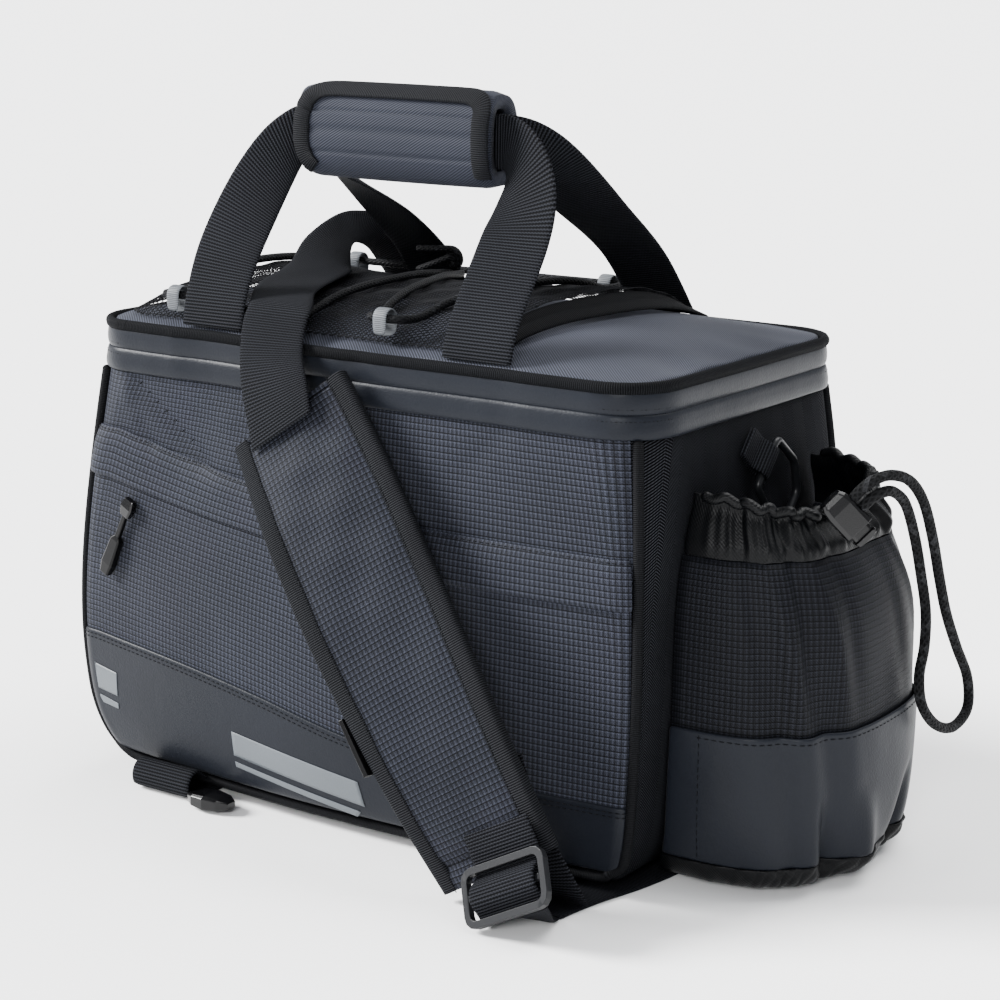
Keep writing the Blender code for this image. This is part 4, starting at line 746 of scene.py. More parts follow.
net_tree = grow_tree("knitted_net", ("Strand",), knitted_net)
net_finish = make_finish("net_yarn", (1, 1, 1.3), (9, 9.5, 11.5), 0.6, thread_weave, gloss=0.06)
net_points, net_faces = [], []
net_along, net_across = 96, 70
for i in range(net_along):
    for j in range(net_across):
        side = clamp((j + 0.5 * (i % 2)) / (net_across - 1) * 2 - 1, -1, 1)
        x = mesh_left + i / (net_along - 1) * (hem_line(side * body_width * 0.45) - gap - mesh_left)
        y = side * mesh_edge(x)
        wrinkle = 0.0007 * sin(x * 210 + y * 90) * sin(y * 160 - x * 60) * (1 - side ** 6)
        net_points.append((x, y, mesh_height(x, y) + mesh_cloth / 2 + wrinkle + 0.0004))
        a = i * net_across + j
        b, c, d = a + 1, a + net_across, a + net_across + 1
        if i < net_along - 1 and j < net_across - 1:
            net_faces += [(a, c, b), (b, c, d)] if i % 2 == 0 else [(a, c, d), (a, d, b)]
grow_piece("lid_net", net_points, [], net_faces, net_tree, {"Strand": 0.0003}, net_finish, ("mesh_panel",))
hem_rows = []
for side in np.linspace(-1, 1, 70):
    y = side * (body_width / 2 - mesh_margin)
    x = hem_line(side * body_width * 0.45) + gap
    low = mesh_height(x, y)
    rest = lid_height(x + hem_wide, y) + layer
    far = rest + max(low - rest, 0) * 0.22
    hem_rows.append([(x - 0.0006 + (hem_wide + 0.0006) * t, y,
                      between(low, far, t) + 0.0006 * sin(pi * t) - 0.0008 * bump(t - 0.45, 0.08))
                     for t in (0, 0.15, 0.3, 0.38, 0.45, 0.52, 0.6, 0.8, 1)])
hem_finish = make_finish("hem_tape", (0.4, 0.4, 0.5), (6, 6.4, 7.6), 0.62, tape_weave(0.0012), 0.0002, gloss=0.04)
lay_cloth("net_hem", hem_rows, hem_finish, ("mesh_hem",), thick=hem_cloth)


# Bungee: 4 mm elastic cord in a braided cover, laced over the net through five
# webbing loops sewn in the lid's edge, and joined by a knot near the back.
bungee_radius, loop_wide, loop_cloth, loop_slack = 0.002, 0.008, 0.0009, 0.002
bungee_loops = [("front_right", 0.049, -1, 1, 0.012), ("back_right", 0.092, 1, -1, 0.012),
                ("back_left", -0.4, 1, -1, 0.012), ("front_left", -0.334, -1, 1, 0.012),
                ("front_middle", -0.134, -1, 1, 0.0074)]
bungee_finish = make_finish("bungee_braid", (0.7, 0.7, 0.9), (12, 12.6, 14.8), 0.55,
                            braid_weave(0.002, 0.003, 0.05), 0.00035, gloss=0.06)
loop_finish = make_finish("loop_tape", (42, 45, 50), (135, 144, 156), 0.45, tape_weave(0.0009),
                          0.00012, gloss=0.12, coat=0.02)
knot = np.array((-0.15 * body_length, 0.345 * body_width, 0.0))
knot[2] = mesh_height(knot[0], knot[1]) + 0.0105
stops = [knot + (0.005, -0.0035, -0.0048)]
ring = bungee_radius + loop_slack
for name, along, side, way, height in bungee_loops:
    x, y = along * body_length, (-0.4375 if side < 0 else 0.458) * body_width
    foot = mesh_height(x, abs(y) - ring) + mesh_cloth + layer
    z = foot + height - ring
    path = [(y + side * ring, foot)]
    path += [(y + side * ring * cos(t), z + ring * sin(t)) for t in np.linspace(0, pi, 14)]
    path += [(y - side * ring, foot + loop_cloth), (y + side * (ring - 2 * loop_cloth), foot + loop_cloth / 2)]
    lay_cloth("bungee_tab_" + name, [[(x + across, b, c) for across in (-loop_wide / 2, 0, loop_wide / 2)]
                                     for b, c in path], loop_finish, ("cord_loop_" + name,),
              thick=loop_cloth, side=-side)
    step = np.array((way * (loop_wide / 2 + 2 * bungee_radius), 0, 0))
    stops += [np.array((x, y, z)) - step, np.array((x, y, z)) + step]
stops += [knot + (-0.001, -0.0048, -0.0048)]
bungee_route = []
for start, end in zip(stops, stops[1:]):
    count = max(round(float(np.linalg.norm(end - start)) / 0.016), 1)
    for share in (k / count for k in range(count)):
        point = between(start, end, share)
        if abs(start[1] - end[1]) >= body_width / 10:
            top = mesh_height(point[0], point[1]) + mesh_cloth + bungee_radius + layer
            point[2] = max(between(point[2], top, min(min(share, 1 - share) * 6, 1.0)), top)
        bungee_route.append(point)
bungee_route.append(stops[-1])
lay_cord("bungee_lacing", smooth_rows(bungee_route, 330), bungee_radius, bungee_finish, ("bungee_cord",))
turns = [knot + (0.0045 * cos(t), -0.0065 * k / 9, 0.0045 * sin(t) + 0.0035)
         for k, t in ((k, radians(-200 + 290 * k / 9)) for k in range(10))]
for name, path, count, drop, fall in (("bungee_knot_upper", turns, 60, 0, 0.0004),
                                      ("bungee_knot_lower", turns[-2:], 20, 2.2 * bungee_radius, 0.0026)):
    ends = [turns[-1] + np.array((-0.0065 * k, -0.0003 * k, -fall * k)) for k in range(1, 4)]
    lay_cord(name, smooth_rows(path + ends, count) - (0, 0, drop), bungee_radius, bungee_finish,
             ("bungee_knot",))


# Carry handle: two loops of 38 mm ribbed webbing, sewn in the lid's edges, folded
# and held together by a padded grip with sewn channels and a bound edge.
handle_front_route = [
    # along, across, up, width direction x, y, z, width
    (-0.25, -0.474, 1.0245, 1, 0, 0, 1), (-0.251, -0.457, 1.09, 1, 0, 0, 1),
    (-0.252, -0.405, 1.18, 0.98, 0, -0.15, 1), (-0.243, -0.33, 1.285, 0.88, 0, -0.45, 0.92),
    (-0.226, -0.27, 1.368, 0.66, 0, -0.75, 0.82), (-0.205, -0.232, 1.416, 0.3, 0, -0.95, 0.72),
    (-0.186, -0.214, 1.43, 0.05, 0, -1, 0.68), (-0.165, -0.211, 1.431, 0, 0, -1, 0.68),
    (0.06, -0.211, 1.431, 0, 0, -1, 0.68), (0.142, -0.211, 1.431, 0, 0, -1, 0.68),
    (0.162, -0.214, 1.43, -0.05, 0, -1, 0.68), (0.184, -0.228, 1.414, -0.34, 0, -0.94, 0.78),
    (0.203, -0.247, 1.372, -0.72, 0, -0.69, 0.92), (0.214, -0.27, 1.315, -0.94, 0, -0.34, 1),
    (0.217, -0.32, 1.24, -1, 0, 0, 1), (0.219, -0.44, 1.1, -1, 0, 0, 1),
    (0.219, -0.474, 1.0245, -1, 0, 0, 1),
]
handle_back_route = [
    (-0.234, 0.472, 1.026, 1, 0, 0, 1), (-0.23, 0.37, 1.124, 1, 0, -0.05, 1),
    (-0.225, 0.17, 1.245, 0.97, 0.1, -0.2, 0.96), (-0.218, -0.03, 1.342, 0.82, 0.15, -0.55, 0.86),
    (-0.206, -0.15, 1.405, 0.38, 0.05, -0.92, 0.76), (-0.188, -0.195, 1.43, 0.05, 0, -1, 0.68),
    (-0.165, -0.198, 1.431, 0, 0, -1, 0.68), (0.06, -0.198, 1.431, 0, 0, -1, 0.68),
    (0.142, -0.198, 1.431, 0, 0, -1, 0.68), (0.162, -0.195, 1.43, -0.05, 0, -1, 0.68),
    (0.178, -0.15, 1.41, -0.42, -0.05, -0.9, 0.78), (0.186, -0.06, 1.366, -0.82, -0.15, -0.5, 0.88),
    (0.188, 0.1, 1.283, -0.97, -0.1, -0.2, 0.96), (0.189, 0.31, 1.168, -1, 0, -0.05, 1),
    (0.189, 0.472, 1.026, -1, 0, 0, 1),
]


def bag_point(along, across, up):
    """Point given by shares of the bag's length, width and height"""
    return np.array((along * body_length, across * body_width, up * lid_top))


def webbing_rows(pairs):
    """Rows of points across a strap from its two edges"""
    pairs = np.asarray(pairs, float)
    return between(pairs[:, :1], pairs[:, 1:], np.linspace(0, 1, 9)[None, :, None])


def strap_edges(route, steps):
    """The two edges of a strap that follows a route of shares, of full width where none is given"""
    pairs = []
    for row in smooth_rows([(*row, 1)[:7] for row in route], steps):
        middle, half = bag_point(*row[:3]), unit(row[3:6]) * webbing_wide * row[6] / 2
        pairs.append((middle - half, middle + half))
    return pairs


def lay_strap(name, pairs, finish, replaced):
    """A strap of the wide webbing between its two edges"""
    lay_cloth(name, webbing_rows(pairs), finish, (replaced,), thick=webbing_thick, side=0)


def webbing_weave(pitch, grain):
    """Heavy ribs across the strap, each a row of rounded grains"""
    def weave(tree, u, v):
        rib = v.wave(pitch)
        bead = (u + v.cell(pitch) * (grain / 2)).wave(grain)
        return rib * (bead * 0.75 + 0.25), rib * 0.65 + rib * bead * 0.35
    return weave


handle_finish = make_finish("handle_webbing", (0.2, 0.2, 0.3), (24, 25.6, 31), 0.66,
                            webbing_weave(0.00155, 0.0017), 0.00045, gloss=0.03)
for name, route in (("handle_front", handle_front_route), ("handle_back", handle_back_route)):
    lay_strap(name + "_webbing", strap_edges(route, 170), handle_finish, name)
grip_long, grip_high, grip_thick, grip_wall = 0.111, 0.044, 0.026, 0.0065
grip_middle = np.array((-0.0055, -0.0392, 0.327))
grip_seams = tuple(map(radians, (158, 178, 200, 22, 2)))


def squarer(value, power):
    """A sine or cosine that makes a circle squarer"""
    return copysign(abs(value) ** power, value)


def grip_spot(place, angle, raise_by=0.0):
    """Point on the padded sleeve: place along it from -0.5 to 0.5, angle round it from the back"""
    scale = 1.0 + 0.02 * (1 - (2 * place) ** 2) - 0.07 * max(abs(place) - 0.44, 0) / 0.06
    channel = sum(bump(angle - seam, 0.045) for seam in grip_seams)
    puff = 0.0004 - 0.0008 * channel * (abs(place) < 0.46)
    y = (grip_thick / 2 + puff + raise_by) * scale * squarer(cos(angle), 0.8)
    z = (grip_high / 2 + puff * 0.5 + raise_by) * scale * squarer(sin(angle), 0.8)
    return grip_middle + (place * grip_long, y, z)


def grip_weave(tree, u, v):
    """Fine twill"""
    rib = (u + v * 0.6).wave(0.0013)
    return rib * 0.8 + 0.1, rib


grip_finish = make_finish("grip_cloth", (4, 4.5, 6), (28, 31, 44), 0.62,
                          grip_weave, 0.00016, sheen=0.02, gloss=0.06)
grip = lay_cloth("grip_sleeve", [[grip_spot(place, angle) for angle in np.linspace(0, tau, 150, endpoint=False)]
                                 for place in np.linspace(-0.5, 0.5, 60)], grip_finish, ("handle_grip",),
                 thick=grip_wall, closed=True, rounds=0)
tape_steps, tape_half, tape_cloth = 150, 0.0048, 0.0014
tape_line = smooth_rows(
    [(-0.415, 3.95), (-0.445, 3.72), (-0.464, 3.45), (-0.468, 3.15), (-0.462, 2.85), (-0.442, 2.55), (-0.405, 2.3),
     (-0.355, 2.16)] + [(p, 2.12) for p in np.linspace(-0.29, 0.33, 12)] + [(0.4, 2.15), (0.445, 2.3)]
    + [(0.466, a) for a in (2.55, 2.9, 3.3, 3.7, 3.95)], tape_steps)
tape_rows = []
for k, (place, angle) in enumerate(tape_line):
    here = grip_spot(place, angle, 0.0004)
    out = unit(np.cross(grip_spot(place, angle + 0.01) - grip_spot(place, angle - 0.01), (1, 0, 0)))
    ahead = grip_spot(*tape_line[min(k + 1, tape_steps - 1)]) - grip_spot(*tape_line[max(k - 1, 0)])
    wide = unit(np.cross(out, ahead))
    tape_rows.append([here + wide * tape_half * t + out * (0.0009 * (1 - t * t)) for t in np.linspace(-1, 1, 9)])
grip_tape_finish = make_finish("grip_tape", (0.6, 0.7, 0.9), (8.5, 9.1, 11.4), 0.66,
                               tape_weave(0.001), 0.0003, sheen=0.01, gloss=0.05)
lay_cloth("grip_edge_tape", tape_rows, grip_tape_finish, thick=tape_cloth, side=0)


# Shoulder strap: the same width of webbing, thinner and closer ribbed. It comes out
# from under the pad, runs over the lid between the handle's legs, stands up in a
# soft fold behind them, and goes down the back and under the base.
strap_over_lid_route = [
    # along, across, up, width direction x, y, z, width
    (-0.048, -0.629, 0.857, 0.8, 0.15, 0.58, 1), (-0.061, -0.616, 0.905, 0.84, 0.12, 0.5, 1),
    (-0.085, -0.585, 0.965, 0.95, 0.05, 0.25, 1), (-0.108, -0.54, 1.006, 1, 0, 0.06, 1),
    (-0.124, -0.494, 1.054, 1, 0, 0, 1), (-0.136, -0.44, 1.088, 1, 0, 0, 1),
    (-0.198, -0.286, 1.1, 1, 0, 0, 1), (-0.272, 0, 1.106, 0.99, 0.05, -0.06, 1),
    (-0.312, 0.13, 1.128, 0.86, 0, -0.42, 0.86), (-0.336, 0.26, 1.166, 0.55, -0.25, -0.78, 0.56),
    (-0.344, 0.36, 1.164, 0, -0.45, -0.88, 0.5), (-0.342, 0.46, 1.142, -0.68, -0.3, -0.6, 0.72),
    (-0.328, 0.538, 1.066, -0.94, -0.05, -0.3, 0.96), (-0.312, 0.545, 1, -1, 0, -0.04, 1),
]
strap_back_table = [
    # along, up, slope, distance
    (-0.312, 0.997, 1, 0.165), (-0.305, 0.94, 9, 0.13), (-0.285, 0.872, 26, 0.095), (-0.235, 0.775, 42, 0.06),
    (-0.14, 0.64, 47, 0.045), (0.02, 0.45, 47, 0.045), (0.17, 0.28, 45, 0.045), (0.27, 0.18, 38, 0.06),
    (0.345, 0.105, 22, 0.11), (0.38, 0.062, 6, 0.175), (0.388, 0.038, 0, 0.18),
]
strap_under_route = [(0.39, 0.5), (0.4, 0.42), (0.43, 0.2), (0.443, -0.05), (0.443, -0.235),
                     (0.43, -0.4), (0.405, -0.56), (0.392, -0.69)]
strap_tail_route = [
    (0.33, -0.672, 0.27, 0.84, 0, 0.54, 1), (0.358, -0.68, 0.18, 0.86, 0, 0.5, 1),
    (0.388, -0.668, 0.095, 0.93, 0.05, 0.36, 1), (0.403, -0.633, 0.036, 0.99, 0.1, 0.08, 1),
    (0.405, -0.6, 0.0133, 1, 0, 0, 1),
]
strap_front_route = [
    (0.3925, -0.692, 0.004, 1, 0, 0, 1), (0.405, -0.745, 0.013, 0.99, 0, 0.09, 1),
    (0.422, -0.797, 0.0315, 0.95, 0, 0.28, 1), (0.435, -0.838, 0.047, 0.88, 0, 0.47, 1),
]
strap_finish = make_finish("strap_webbing", (0.3, 0.3, 0.4), (21.5, 22.9, 28), 0.68,
                           webbing_weave(0.00145, 0.0018), 0.0004, gloss=0.03)


def back_spot(x, z, distance):
    """Point at a distance behind the back wall, or behind the band above it"""
    height = min((z - base_height) / body_height, 1.0)
    left, right, _, _, corner, _ = body_sizes(height)
    share = clamp(((right - left) / 2 - x) / ((right + left) / 2 - corner), -0.999, 0.999)
    return np.array((x, wall_point(4.5 + share / 2, height)[1] + distance, z))


def flat_pair(x, y, z):
    """The two edges of a level strap at one place"""
    middle = np.array((x, y, z))
    return middle - flat_half, middle + flat_half


flat_half = np.array((webbing_wide / 2, 0, 0))
lay_strap("strap_over_lid_webbing", strap_edges(strap_over_lid_route, 130), strap_finish, "strap_over_lid")
strap_down = []
for along, up, slope, distance in smooth_rows(strap_back_table, 80):
    x, z = along * body_length, up * lid_top
    half = np.array((cos(radians(slope)), 0, sin(radians(slope)))) * webbing_wide / 2
    strap_down.append([back_spot(x + half[0] * t, z + half[2] * t, distance * webbing_wide)
                       for t in np.linspace(-1, 1, 9)])
lay_cloth("strap_back_webbing", strap_down, strap_finish, ("strap_back",), thick=webbing_thick, side=0)
last = strap_down[-1][4]
under_pairs = [flat_pair(last[0], last[1] - 0.0012, last[2] - 0.0042),
               flat_pair(last[0], last[1] - 0.0036, webbing_thick)]
under_pairs += [flat_pair(along * body_length, across * body_width, webbing_thick / 2)
                for along, across in smooth_rows(strap_under_route, 40)]
lay_strap("strap_under_webbing", under_pairs, strap_finish, "strap_under")
lay_strap("strap_tail_webbing", strap_edges(strap_tail_route, 40), strap_finish, "strap_tail")
lay_strap("strap_front_webbing", strap_edges(strap_front_route, 24), strap_finish, "strap_front")


# Shoulder pad: foam in ripstop, hung over the front. Ribbed tape is folded over
# both long edges and sewn, and a row of stitches closes each end.
pad_wide, pad_thick, pad_edge, pad_binding = 0.07, 0.008, 0.0035, 0.0021
pad_tape_wide, pad_tape_high = 0.0052, 0.0037
pad_route = [
    # along, across, up, width direction x, y, z
    (-0.056, -0.578, 0.893, 0.775, 0.188, 0.603), (-0.033, -0.593, 0.855, 0.765, 0.24, 0.6),
    (0.012, -0.627, 0.785, 0.759, 0.327, 0.563), (0.075, -0.671, 0.684, 0.753, 0.401, 0.522),
    (0.148, -0.715, 0.561, 0.76, 0.377, 0.528), (0.227, -0.748, 0.417, 0.79, 0.248, 0.56),
    (0.304, -0.761, 0.26, 0.826, 0.109, 0.554), (0.376, -0.745, 0.094, 0.871, -0.033, 0.49),
]


def pad_frames(steps):
    """Middle, width and thickness directions along the shoulder pad"""
    rows = smooth_rows(pad_route, steps)
    middles = np.array([bag_point(*row[:3]) for row in rows])
    frames = []
    for k, row in enumerate(rows):
        tangent = middles[min(k + 1, steps - 1)] - middles[max(k - 1, 0)]
        wide = row[3:6] / np.linalg.norm(row[3:6])
        thick = unit(np.cross(wide, tangent))
        wide = unit(wide - tangent * wide.dot(tangent) / tangent.dot(tangent))
        frames.append((middles[k], wide, -thick if thick[1] > 0 else thick))
    return frames


pad_steps = 130
pad_line = pad_frames(pad_steps)
pad_half = pad_wide / 2 - 2 * pad_binding - gap
pad_turn = -1 if np.cross(pad_line[0][1], pad_line[0][2]).dot(pad_line[1][0] - pad_line[0][0]) > 0 else 1


def pad_rise(share):
    """Half of the pad's thickness at a place across it"""
    return pad_edge / 2 + (pad_thick - pad_edge) / 2 * (1 - share ** 4)


def pad_spot(k, share, lift=0.0):
    """Point on the pad's front: a row along it, and a place across it from -1 to 1"""
    middle, wide, thick = pad_line[k]
    ends = min(k, pad_steps - 1 - k) / (pad_steps - 1)
    rise = pad_rise(share) - 0.0012 * bump(ends - 0.045, 0.01)
    rise += 0.00045 * sin(k * 0.34 + share * 2.0) * sin(k * 0.11 - share * 4) * (1 - share ** 2)
    return middle + wide * pad_half * share + thick * (rise + lift)


pad_rows = []
shares = np.linspace(-1, 1, 27)
for k, (middle, wide, thick) in enumerate(pad_line):
    back = [middle + wide * pad_half * share - thick * pad_rise(share) for share in shares[::-1]]
    pad_rows.append(([pad_spot(k, share) for share in shares] + back)[::pad_turn])
pad_finish = make_finish("pad_ripstop", (0.6, 0.7, 1), (27.2, 30, 42), 0.58,
                         ripstop, 0.00028, sheen=0.01, gloss=0.05)
pad = lay_cloth("shoulder_pad_cloth", pad_rows, pad_finish, ("shoulder_pad",), closed=True, capped=True,
                rounds=0)
pad_tape_finish = make_finish("pad_tape", (0.2, 0.2, 0.3), (17, 18, 21.2), 0.6,
                              tape_weave(0.00105, 0.0006, 0.0042), 0.0004, gloss=0.03)
for name, side in (("left", -1), ("right", 1)):
    edge_rows = [[middle + wide * side * (pad_half - 0.001) + wide * pad_tape_wide * squarer(cos(t), 0.7)
                  + thick * pad_tape_high * squarer(sin(t), 0.7)
                  for t in np.linspace(0, tau, 20, endpoint=False)][::pad_turn]
                 for middle, wide, thick in pad_line]
    lay_cloth("pad_tape_" + name, edge_rows, pad_tape_finish, ("pad_binding_" + name,), closed=True,
              capped=True, rounds=0)
sew("pad_stitches", [[pad_spot(k, share, 0.0002) for share in np.linspace(-0.96, 0.96, 30)]
                     for k in (6, pad_steps - 7)]
    + [[pad_spot(k, side * 0.86, 0.0006) for k in range(pad_steps)] for side in (-1, 1)], pitch=0.003)


# Three-bar slider: a satin moulded frame at the pad's lower end. The webbing comes
# up behind the top bar, over the middle one and down behind the lower one.
def moulded_weave(tree, u, v):
    """Faint spark texture of a moulded part"""
    spark = soft_noise(tree, 1600.0, 2.0)
    return spark * 0.6 + 0.2, spark


satin_finish = make_finish("satin_plastic", (3.5, 3.8, 4.6), (8, 8.6, 10), 0.36, moulded_weave, 0.00003, gloss=0.2)
rubber_finish = make_finish("tag_rubber", (1, 1, 1.2), (2.4, 2.4, 2.8), 0.34, moulded_weave, 0.00002, gloss=0.12)


def keep_rigid(name, finish, edge=0.0004):
    """A hard part that the frame already has: round its edges and give it its finish"""
    part = nodes[name]
    part.modifiers.new("weld", "WELD").merge_threshold = 0.00001
    bevel = part.modifiers.new("rounded", "BEVEL")
    bevel.width, bevel.segments, bevel.limit_method, bevel.angle_limit = edge, 2, "ANGLE", radians(25)
    for material_slot in part.material_slots:
        material_slot.material = finish


keep_rigid("tri_glide", satin_finish)
keep_rigid("strap_tag", rubber_finish, 0.0006)
glide_out = Vector((0.42, -0.42, -0.8))
glide_wide = Vector((0.88, 0.0, 0.478)).normalized()
glide_down = (glide_out - glide_wide * glide_out.dot(glide_wide)).normalized()
glide_out = np.array(glide_down.cross(glide_wide).normalized())
glide_wide, glide_down = np.array(glide_wide), np.array(glide_down)
glide_middle, glide_reach, glide_rod = np.array((0.1374, -0.16, 0.0222)), 0.0135, 0.0034
glide_weave = [(-2.05, 0.8), (-1.5, -0.2), (-1.15, -0.92), (-0.82, -1.04), (-0.6, -0.72), (-0.26, 0.74),
               (0, 0.98), (0.26, 0.74), (0.6, -0.72), (0.8, -1.04), (0.94, -1.04)]
glide_route = [glide_middle + glide_down * y * glide_reach
               + glide_out * level * (glide_rod / 2 + webbing_thick / 2 + gap) for y, level in glide_weave]
lay_strap("slider_webbing", [(p - glide_wide * webbing_wide / 2, p + glide_wide * webbing_wide / 2)
                             for p in smooth_rows(glide_route, 70)], strap_finish, "glide_webbing")


# D-rings on both end walls: satin moulded rings, each held in a folded webbing tab
# that is sewn into the wall. The rings swing in their tabs.
ring_bar, ring_long, ring_radius, ring_slant, ring_bend = 0.023, 0.036, 0.0019, radians(48), 0.0036
tab_wide, tab_long, tab_cloth = 0.0165, 0.018, 0.0011
ring_lift = 3 * layer + 0.0014 + ring_radius
wrap, low = ring_radius + gap + tab_cloth / 2, layer + tab_cloth / 2 - ring_lift
tab_path = smooth_rows([(-tab_long, low + tab_cloth + 2 * gap), (-tab_long * 0.5, low + tab_cloth + 3 * gap),
                        (-0.004, wrap * 0.75)] + [(wrap * sin(t), wrap * cos(t)) for t in np.linspace(0, pi, 12)]
                       + [(-tab_long * 0.35, low), (-tab_long, low)], 60)
bar = np.array((0, cos(ring_slant), sin(ring_slant)))
hang = np.array((0, sin(ring_slant), -cos(ring_slant)))
ring_corners = [bar * x * (ring_bar + 0.004) + hang * y * ring_long for x, y in
                ((-0.5, 0), (0.5, 0), (0.58, 0.62), (0.26, 1), (-0.26, 1), (-0.58, 0.62))]
for name, side in (("right", 1), ("left", -1)):
    outward = np.array((side, 0, 0))
    middle = np.array(next(j["pos_m"] for j in frame["joints"] if j["name"] == f"ring_{name}_swing")) - bag_to_row
    outline = []
    for before, here, after in zip(ring_corners[-1:] + ring_corners, ring_corners, ring_corners[1:] + ring_corners):
        first, second = here + unit(before - here) * ring_bend, here + unit(after - here) * ring_bend
        outline += [middle + first * (1 - t) ** 2 + here * 2 * t * (1 - t) + second * t * t
                    for t in np.linspace(0, 1, 7)]
    even = []
    for p, q in zip(outline, outline[1:] + outline[:1]):
        even += [p, (p + q) / 2] if np.linalg.norm(q - p) > 0.003 else [p]
    lay_cloth("ring_" + name, cord_rows(even, ring_radius, 16, lean=outward, looped=True), satin_finish,
              ("d_ring_" + name,), closed=True, looped=True, rounds=0, body="ring_" + name)
    tab_rows = [[middle + hang * reach + outward * up + bar * tab_wide / 2 * t for t in np.linspace(-1, 1, 7)]
                for reach, up in tab_path]
    lay_cloth("tab_" + name, tab_rows, handle_finish, ("ring_tab_" + name,), thick=tab_cloth, side=0)


# Bottle pocket: ripstop wall sewn flat to the end of the bag, a coated strip round
# its lower half with a topstitched edge, and a crumpled taffeta foot.
pocket_deep, pocket_wide, pocket_high, pocket_wall, pocket_foot = 0.07, 0.142, 0.15, 0.0022, 0.0035
pocket_sections = [
    (0, 0.78, 0.4), (0.03, 0.9, 0.455), (0.09, 0.955, 0.48), (0.2, 0.985, 0.494), (0.4, 1, 0.5),
    (0.6, 0.995, 0.5), (0.8, 0.96, 0.492), (0.92, 0.885, 0.474), (1, 0.8, 0.45),
]
pocket_folds = [
    # direction, width, depth
    (-58, 7, 0.085), (-35, 7, 0.07), (40, 10, 0.06),
]
pocket_creases = [
    # the same for the narrow creases between and beside the three main folds
    (-66, 3, 0.036), (-52, 3.4, -0.034), (-41, 3.2, 0.04), (-27, 3.4, -0.02), (-16, 3.6, 0.022),
    (8, 4, 0.016), (24, 3, -0.02), (46, 3.4, 0.036), (60, 3, -0.026),
]
pocket_table = smooth_rows(pocket_sections, 121)
body_levels = (0.0, 0.015, 0.048, 0.116, 0.217, 0.34, 0.48, 0.62, 0.76, 0.88, 1.0)
pocket_plane = max(wall_point(2.5, level)[0] for level in body_levels) + layer
cuff_ruffles, cuff_ruffle_deep, pocket_power, pocket_steps = 17, 0.0022, 2 / 2.8, 121


def pocket_outline(height, grow, steps, ruffle=0.0, squeeze=(1.0, 1.0), crumple=0.0):
    """Outline of the pocket at a share of its height, from the wall round to the wall"""
    inside = clamp(height, 0.0, 1.0)
    reach, half = [np.interp(min(height, 1.0), pocket_table[:, 0], pocket_table[:, k]) for k in (1, 2)]
    reach, half = reach * pocket_deep * squeeze[0] + grow, half * pocket_wide * squeeze[1] + grow
    strength = sin(pi * inside) ** 0.5
    upper = clamp((height - 0.45) / 0.3, 0.12, 1.0)
    lower = max(1 - height / 0.3, 0.0) * min(max(height, 0.0) / 0.06, 1.0)
    points = []
    for angle in np.linspace(-90, 90, steps):
        t = radians(angle)
        x = reach * max(cos(t), 0.0) ** pocket_power
        y = half * squarer(sin(t), pocket_power)
        dent = sum(deep * pocket_deep * strength * bump(angle - way - (0.75 - height) * 20, wide)
                   for way, wide, deep in pocket_folds)
        for way, wide, deep in pocket_creases:
            drift = way + (0.75 - height) * 26 + 3 * sin(height * 5 + way)
            dent += deep * pocket_deep * upper * bump(angle - drift, wide)
        dent += lower * (0.011 * bump(angle + 22 + height * 30, 5) - 0.008 * bump(angle + 8, 5)
                         + 0.01 * bump(angle - 6 - height * 40, 4))
        wave = ruffle * cuff_ruffle_deep * sin(radians(angle + 90) * cuff_ruffles)
        wave += crumple * (0.0007 * sin(angle * 0.61 + height * 60) + 0.0005 * sin(angle * 1.37 - height * 90))
        pull = (dent - wave) * max(cos(t), 0.0) ** 0.3
        points.append([pocket_plane + x - pull * cos(t), y - pull * sin(t) * 0.6])
    level = clamp((pocket_foot - base_height + height * pocket_high) / body_height, 0.0, 1.0)
    for end in (points[0], points[-1]):
        end[0] = wall_point(2 + (end[1] / body_width + 0.5), level)[0] + layer + pocket_wall * 2 * (1 - inside) ** 6
    return points


def pocket_row(height, *shape, **more):
    """Row of points round the pocket at a share of its height"""
    return [(x, y, pocket_foot + height * pocket_high) for x, y in pocket_outline(height, *shape, **more)]


pocket_finish = make_finish("pocket_ripstop", (0.2, 0.3, 0.4), (13, 14, 18.5), 0.5, ripstop, 0.0003, gloss=0.06)
taffeta_finish = make_finish("taffeta", (0.3, 0.4, 0.5), (2.6, 2.9, 3.8), 0.42, plain_weave, 0.0001, gloss=0.11)
floor_rows = [[(pocket_plane + (x - pocket_plane) * share, y * share, z)
               for x, y, z in pocket_row(0.0, 0.0, pocket_steps)]
              for share in (0.02, 0.5, 0.9)]
pocket_heights = [0, 0.01, 0.03, 0.06, *np.linspace(0.09, 1.0, 44)]
lay_cloth("pocket_wall_cloth", floor_rows + [pocket_row(height, 0.0, pocket_steps) for height in pocket_heights],
          pocket_finish, ("bottle_pocket",), thick=pocket_wall, rounds=0)
coated_share, coated_raise = 0.074 / pocket_high, layer + 0.0003
lay_cloth("pocket_coated_cloth", [pocket_row(height, coated_raise, pocket_steps)
                                  for height in np.linspace(0.078, coated_share, 26)],
          coated_finish, ("pocket_lower_panel",), thick=flap_cloth, side=1)
lay_cloth("pocket_foot_cloth", [pocket_row(height, layer + 0.0009, 161, ruffle=0.25, crumple=1.0)
                                for height in np.linspace(0.01, 0.08, 12)],
          taffeta_finish, ("pocket_foot",), thick=pocket_cloth, side=1)
coated_out = coated_raise + flap_cloth + 0.0001
sew("pocket_stitches", [pocket_row(coated_share - 0.02, coated_out, 90)[3:-3]]
    + [[pocket_row(height, coated_out, 90)[k] for height in np.linspace(0.1, coated_share - 0.02, 30)]
       for k in (3, 86)], pitch=0.0036, stitch=0.0014)


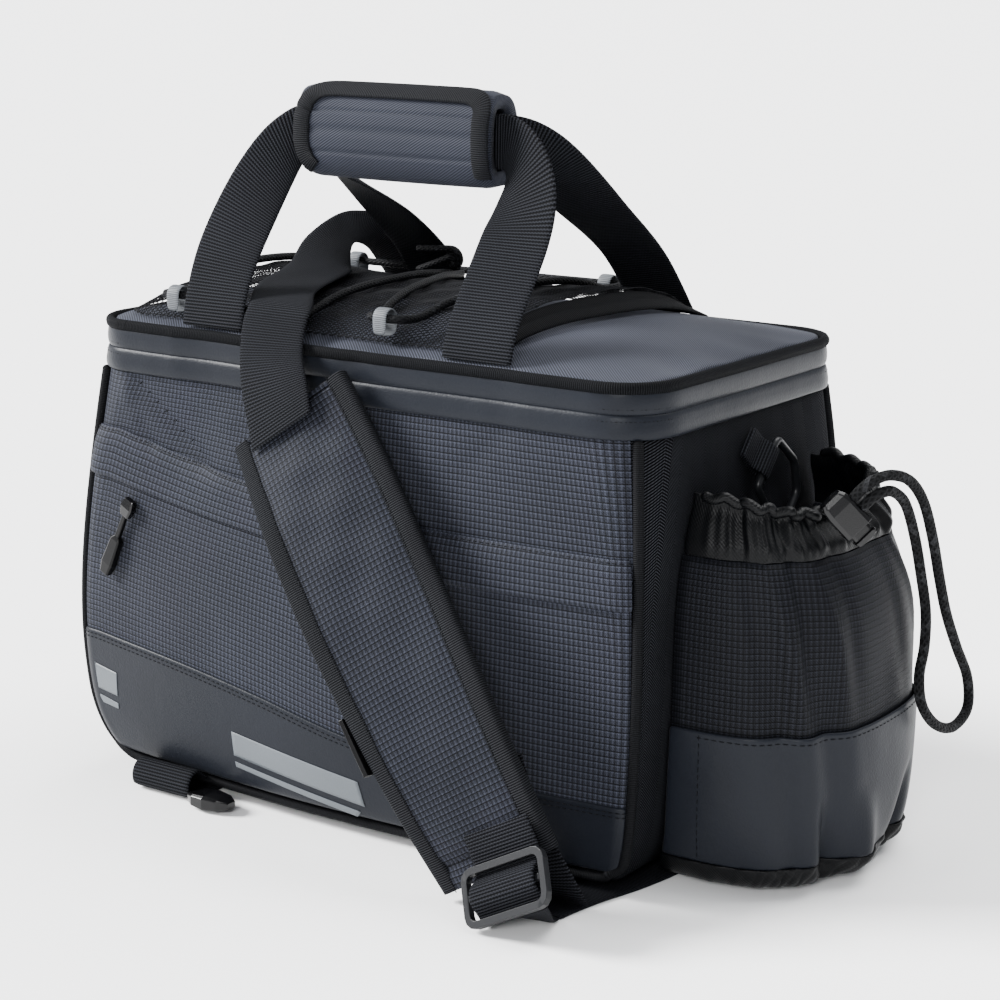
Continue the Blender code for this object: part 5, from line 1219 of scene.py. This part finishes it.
# Cuff of the bottle pocket: thin black taffeta gathered on the drawcord, so it
# stands in small ruffles, with a rolled hem round the mouth.
cuff_high, cuff_wall, cuff_hem = 0.026, 0.0016, 0.0024
cuff_sections = smooth_rows([(0.0, 1.0, 1.0, 0.2), (0.25, 0.992, 0.99, 0.75), (0.55, 0.9, 0.945, 1.0),
                             (0.8, 0.84, 0.9, 0.8), (1, 0.835, 0.895, 1)], 24)


def cuff_line(height, reach, half, ruffle):
    """One level of the cuff, lower towards the front of the pocket and gathered unevenly"""
    line = pocket_outline(1.0, 0.0, 261, ruffle=ruffle * 0.6, squeeze=(reach, half), crumple=1.3 * sin(pi * height))
    row = []
    for k, (x, y) in enumerate(line):
        t = pi * k / 260
        gather = sin(t * 23 + 1.0) + 0.8 * sin(t * 37 + height * 2.5)
        x += 0.0011 * ruffle * gather * sin(t)
        dip = (0.0095 * height ** 1.6) * sin(t) ** 1.5 * (1 - 0.5 * bump(t - 2.2, 0.25))
        z = pocket_foot + pocket_high + gap + height * cuff_high - dip + 0.001 * ruffle * height * sin(t * 29 + 2)
        row.append((x, y, z))
    return row


cuff_rows = [cuff_line(*row) for row in cuff_sections]
lay_cloth("pocket_cuff_cloth", cuff_rows, taffeta_finish, ("pocket_cuff",), thick=cuff_wall)
lay_cord("pocket_cuff_hem", np.array(cuff_rows[-1][4:-4]) + (0, 0, 0.0004), cuff_hem, taffeta_finish,
         (), 12)


# Cord lock: a glossy moulded body with a sprung button that slides in its open end.
# Both are the frame's own hard parts. The zip pulls and the rack strap's slide too.
gloss_finish = make_finish("gloss_plastic", (0.8, 0.8, 1), (2.2, 2.2, 2.6), 0.16, moulded_weave,
                           0.00001, gloss=0.22, coat=0.08)
for name, finish, slot, edge in (("cord_lock_body", gloss_finish, "gloss_plastic", 0.0007),
                                 ("cord_lock_button", gloss_finish, "gloss_plastic", 0.0005),
                                 ("zip_slider", gloss_finish, "satin_plastic", 0.0005),
                                 ("zip_pull", rubber_finish, "satin_plastic", 0.0005),
                                 ("rack_slide", gloss_finish, "satin_plastic", 0.0006)):
    keep_rigid(name, finish, edge)


# Rack strap: a loop of ribbed webbing sewn under the front edge, which folds over
# itself and runs flat under the base, with a plastic slide beside the fold.
rack_route = [(-0.512, 3.6), (-0.535, 5.4), (-0.562, 7.6), (-0.59, 7.4), (-0.606, 4.6), (-0.598, 1.6),
              (-0.555, 0.5), (-0.48, 0.5), (0, 0.5), (0.5, 0.5)]
lay_strap("rack_webbing", [flat_pair(-0.302 * body_length, across * body_width, max(up, 0.5) * webbing_thick)
                           for across, up in smooth_rows(rack_route, 110)], handle_finish, "rack_strap")
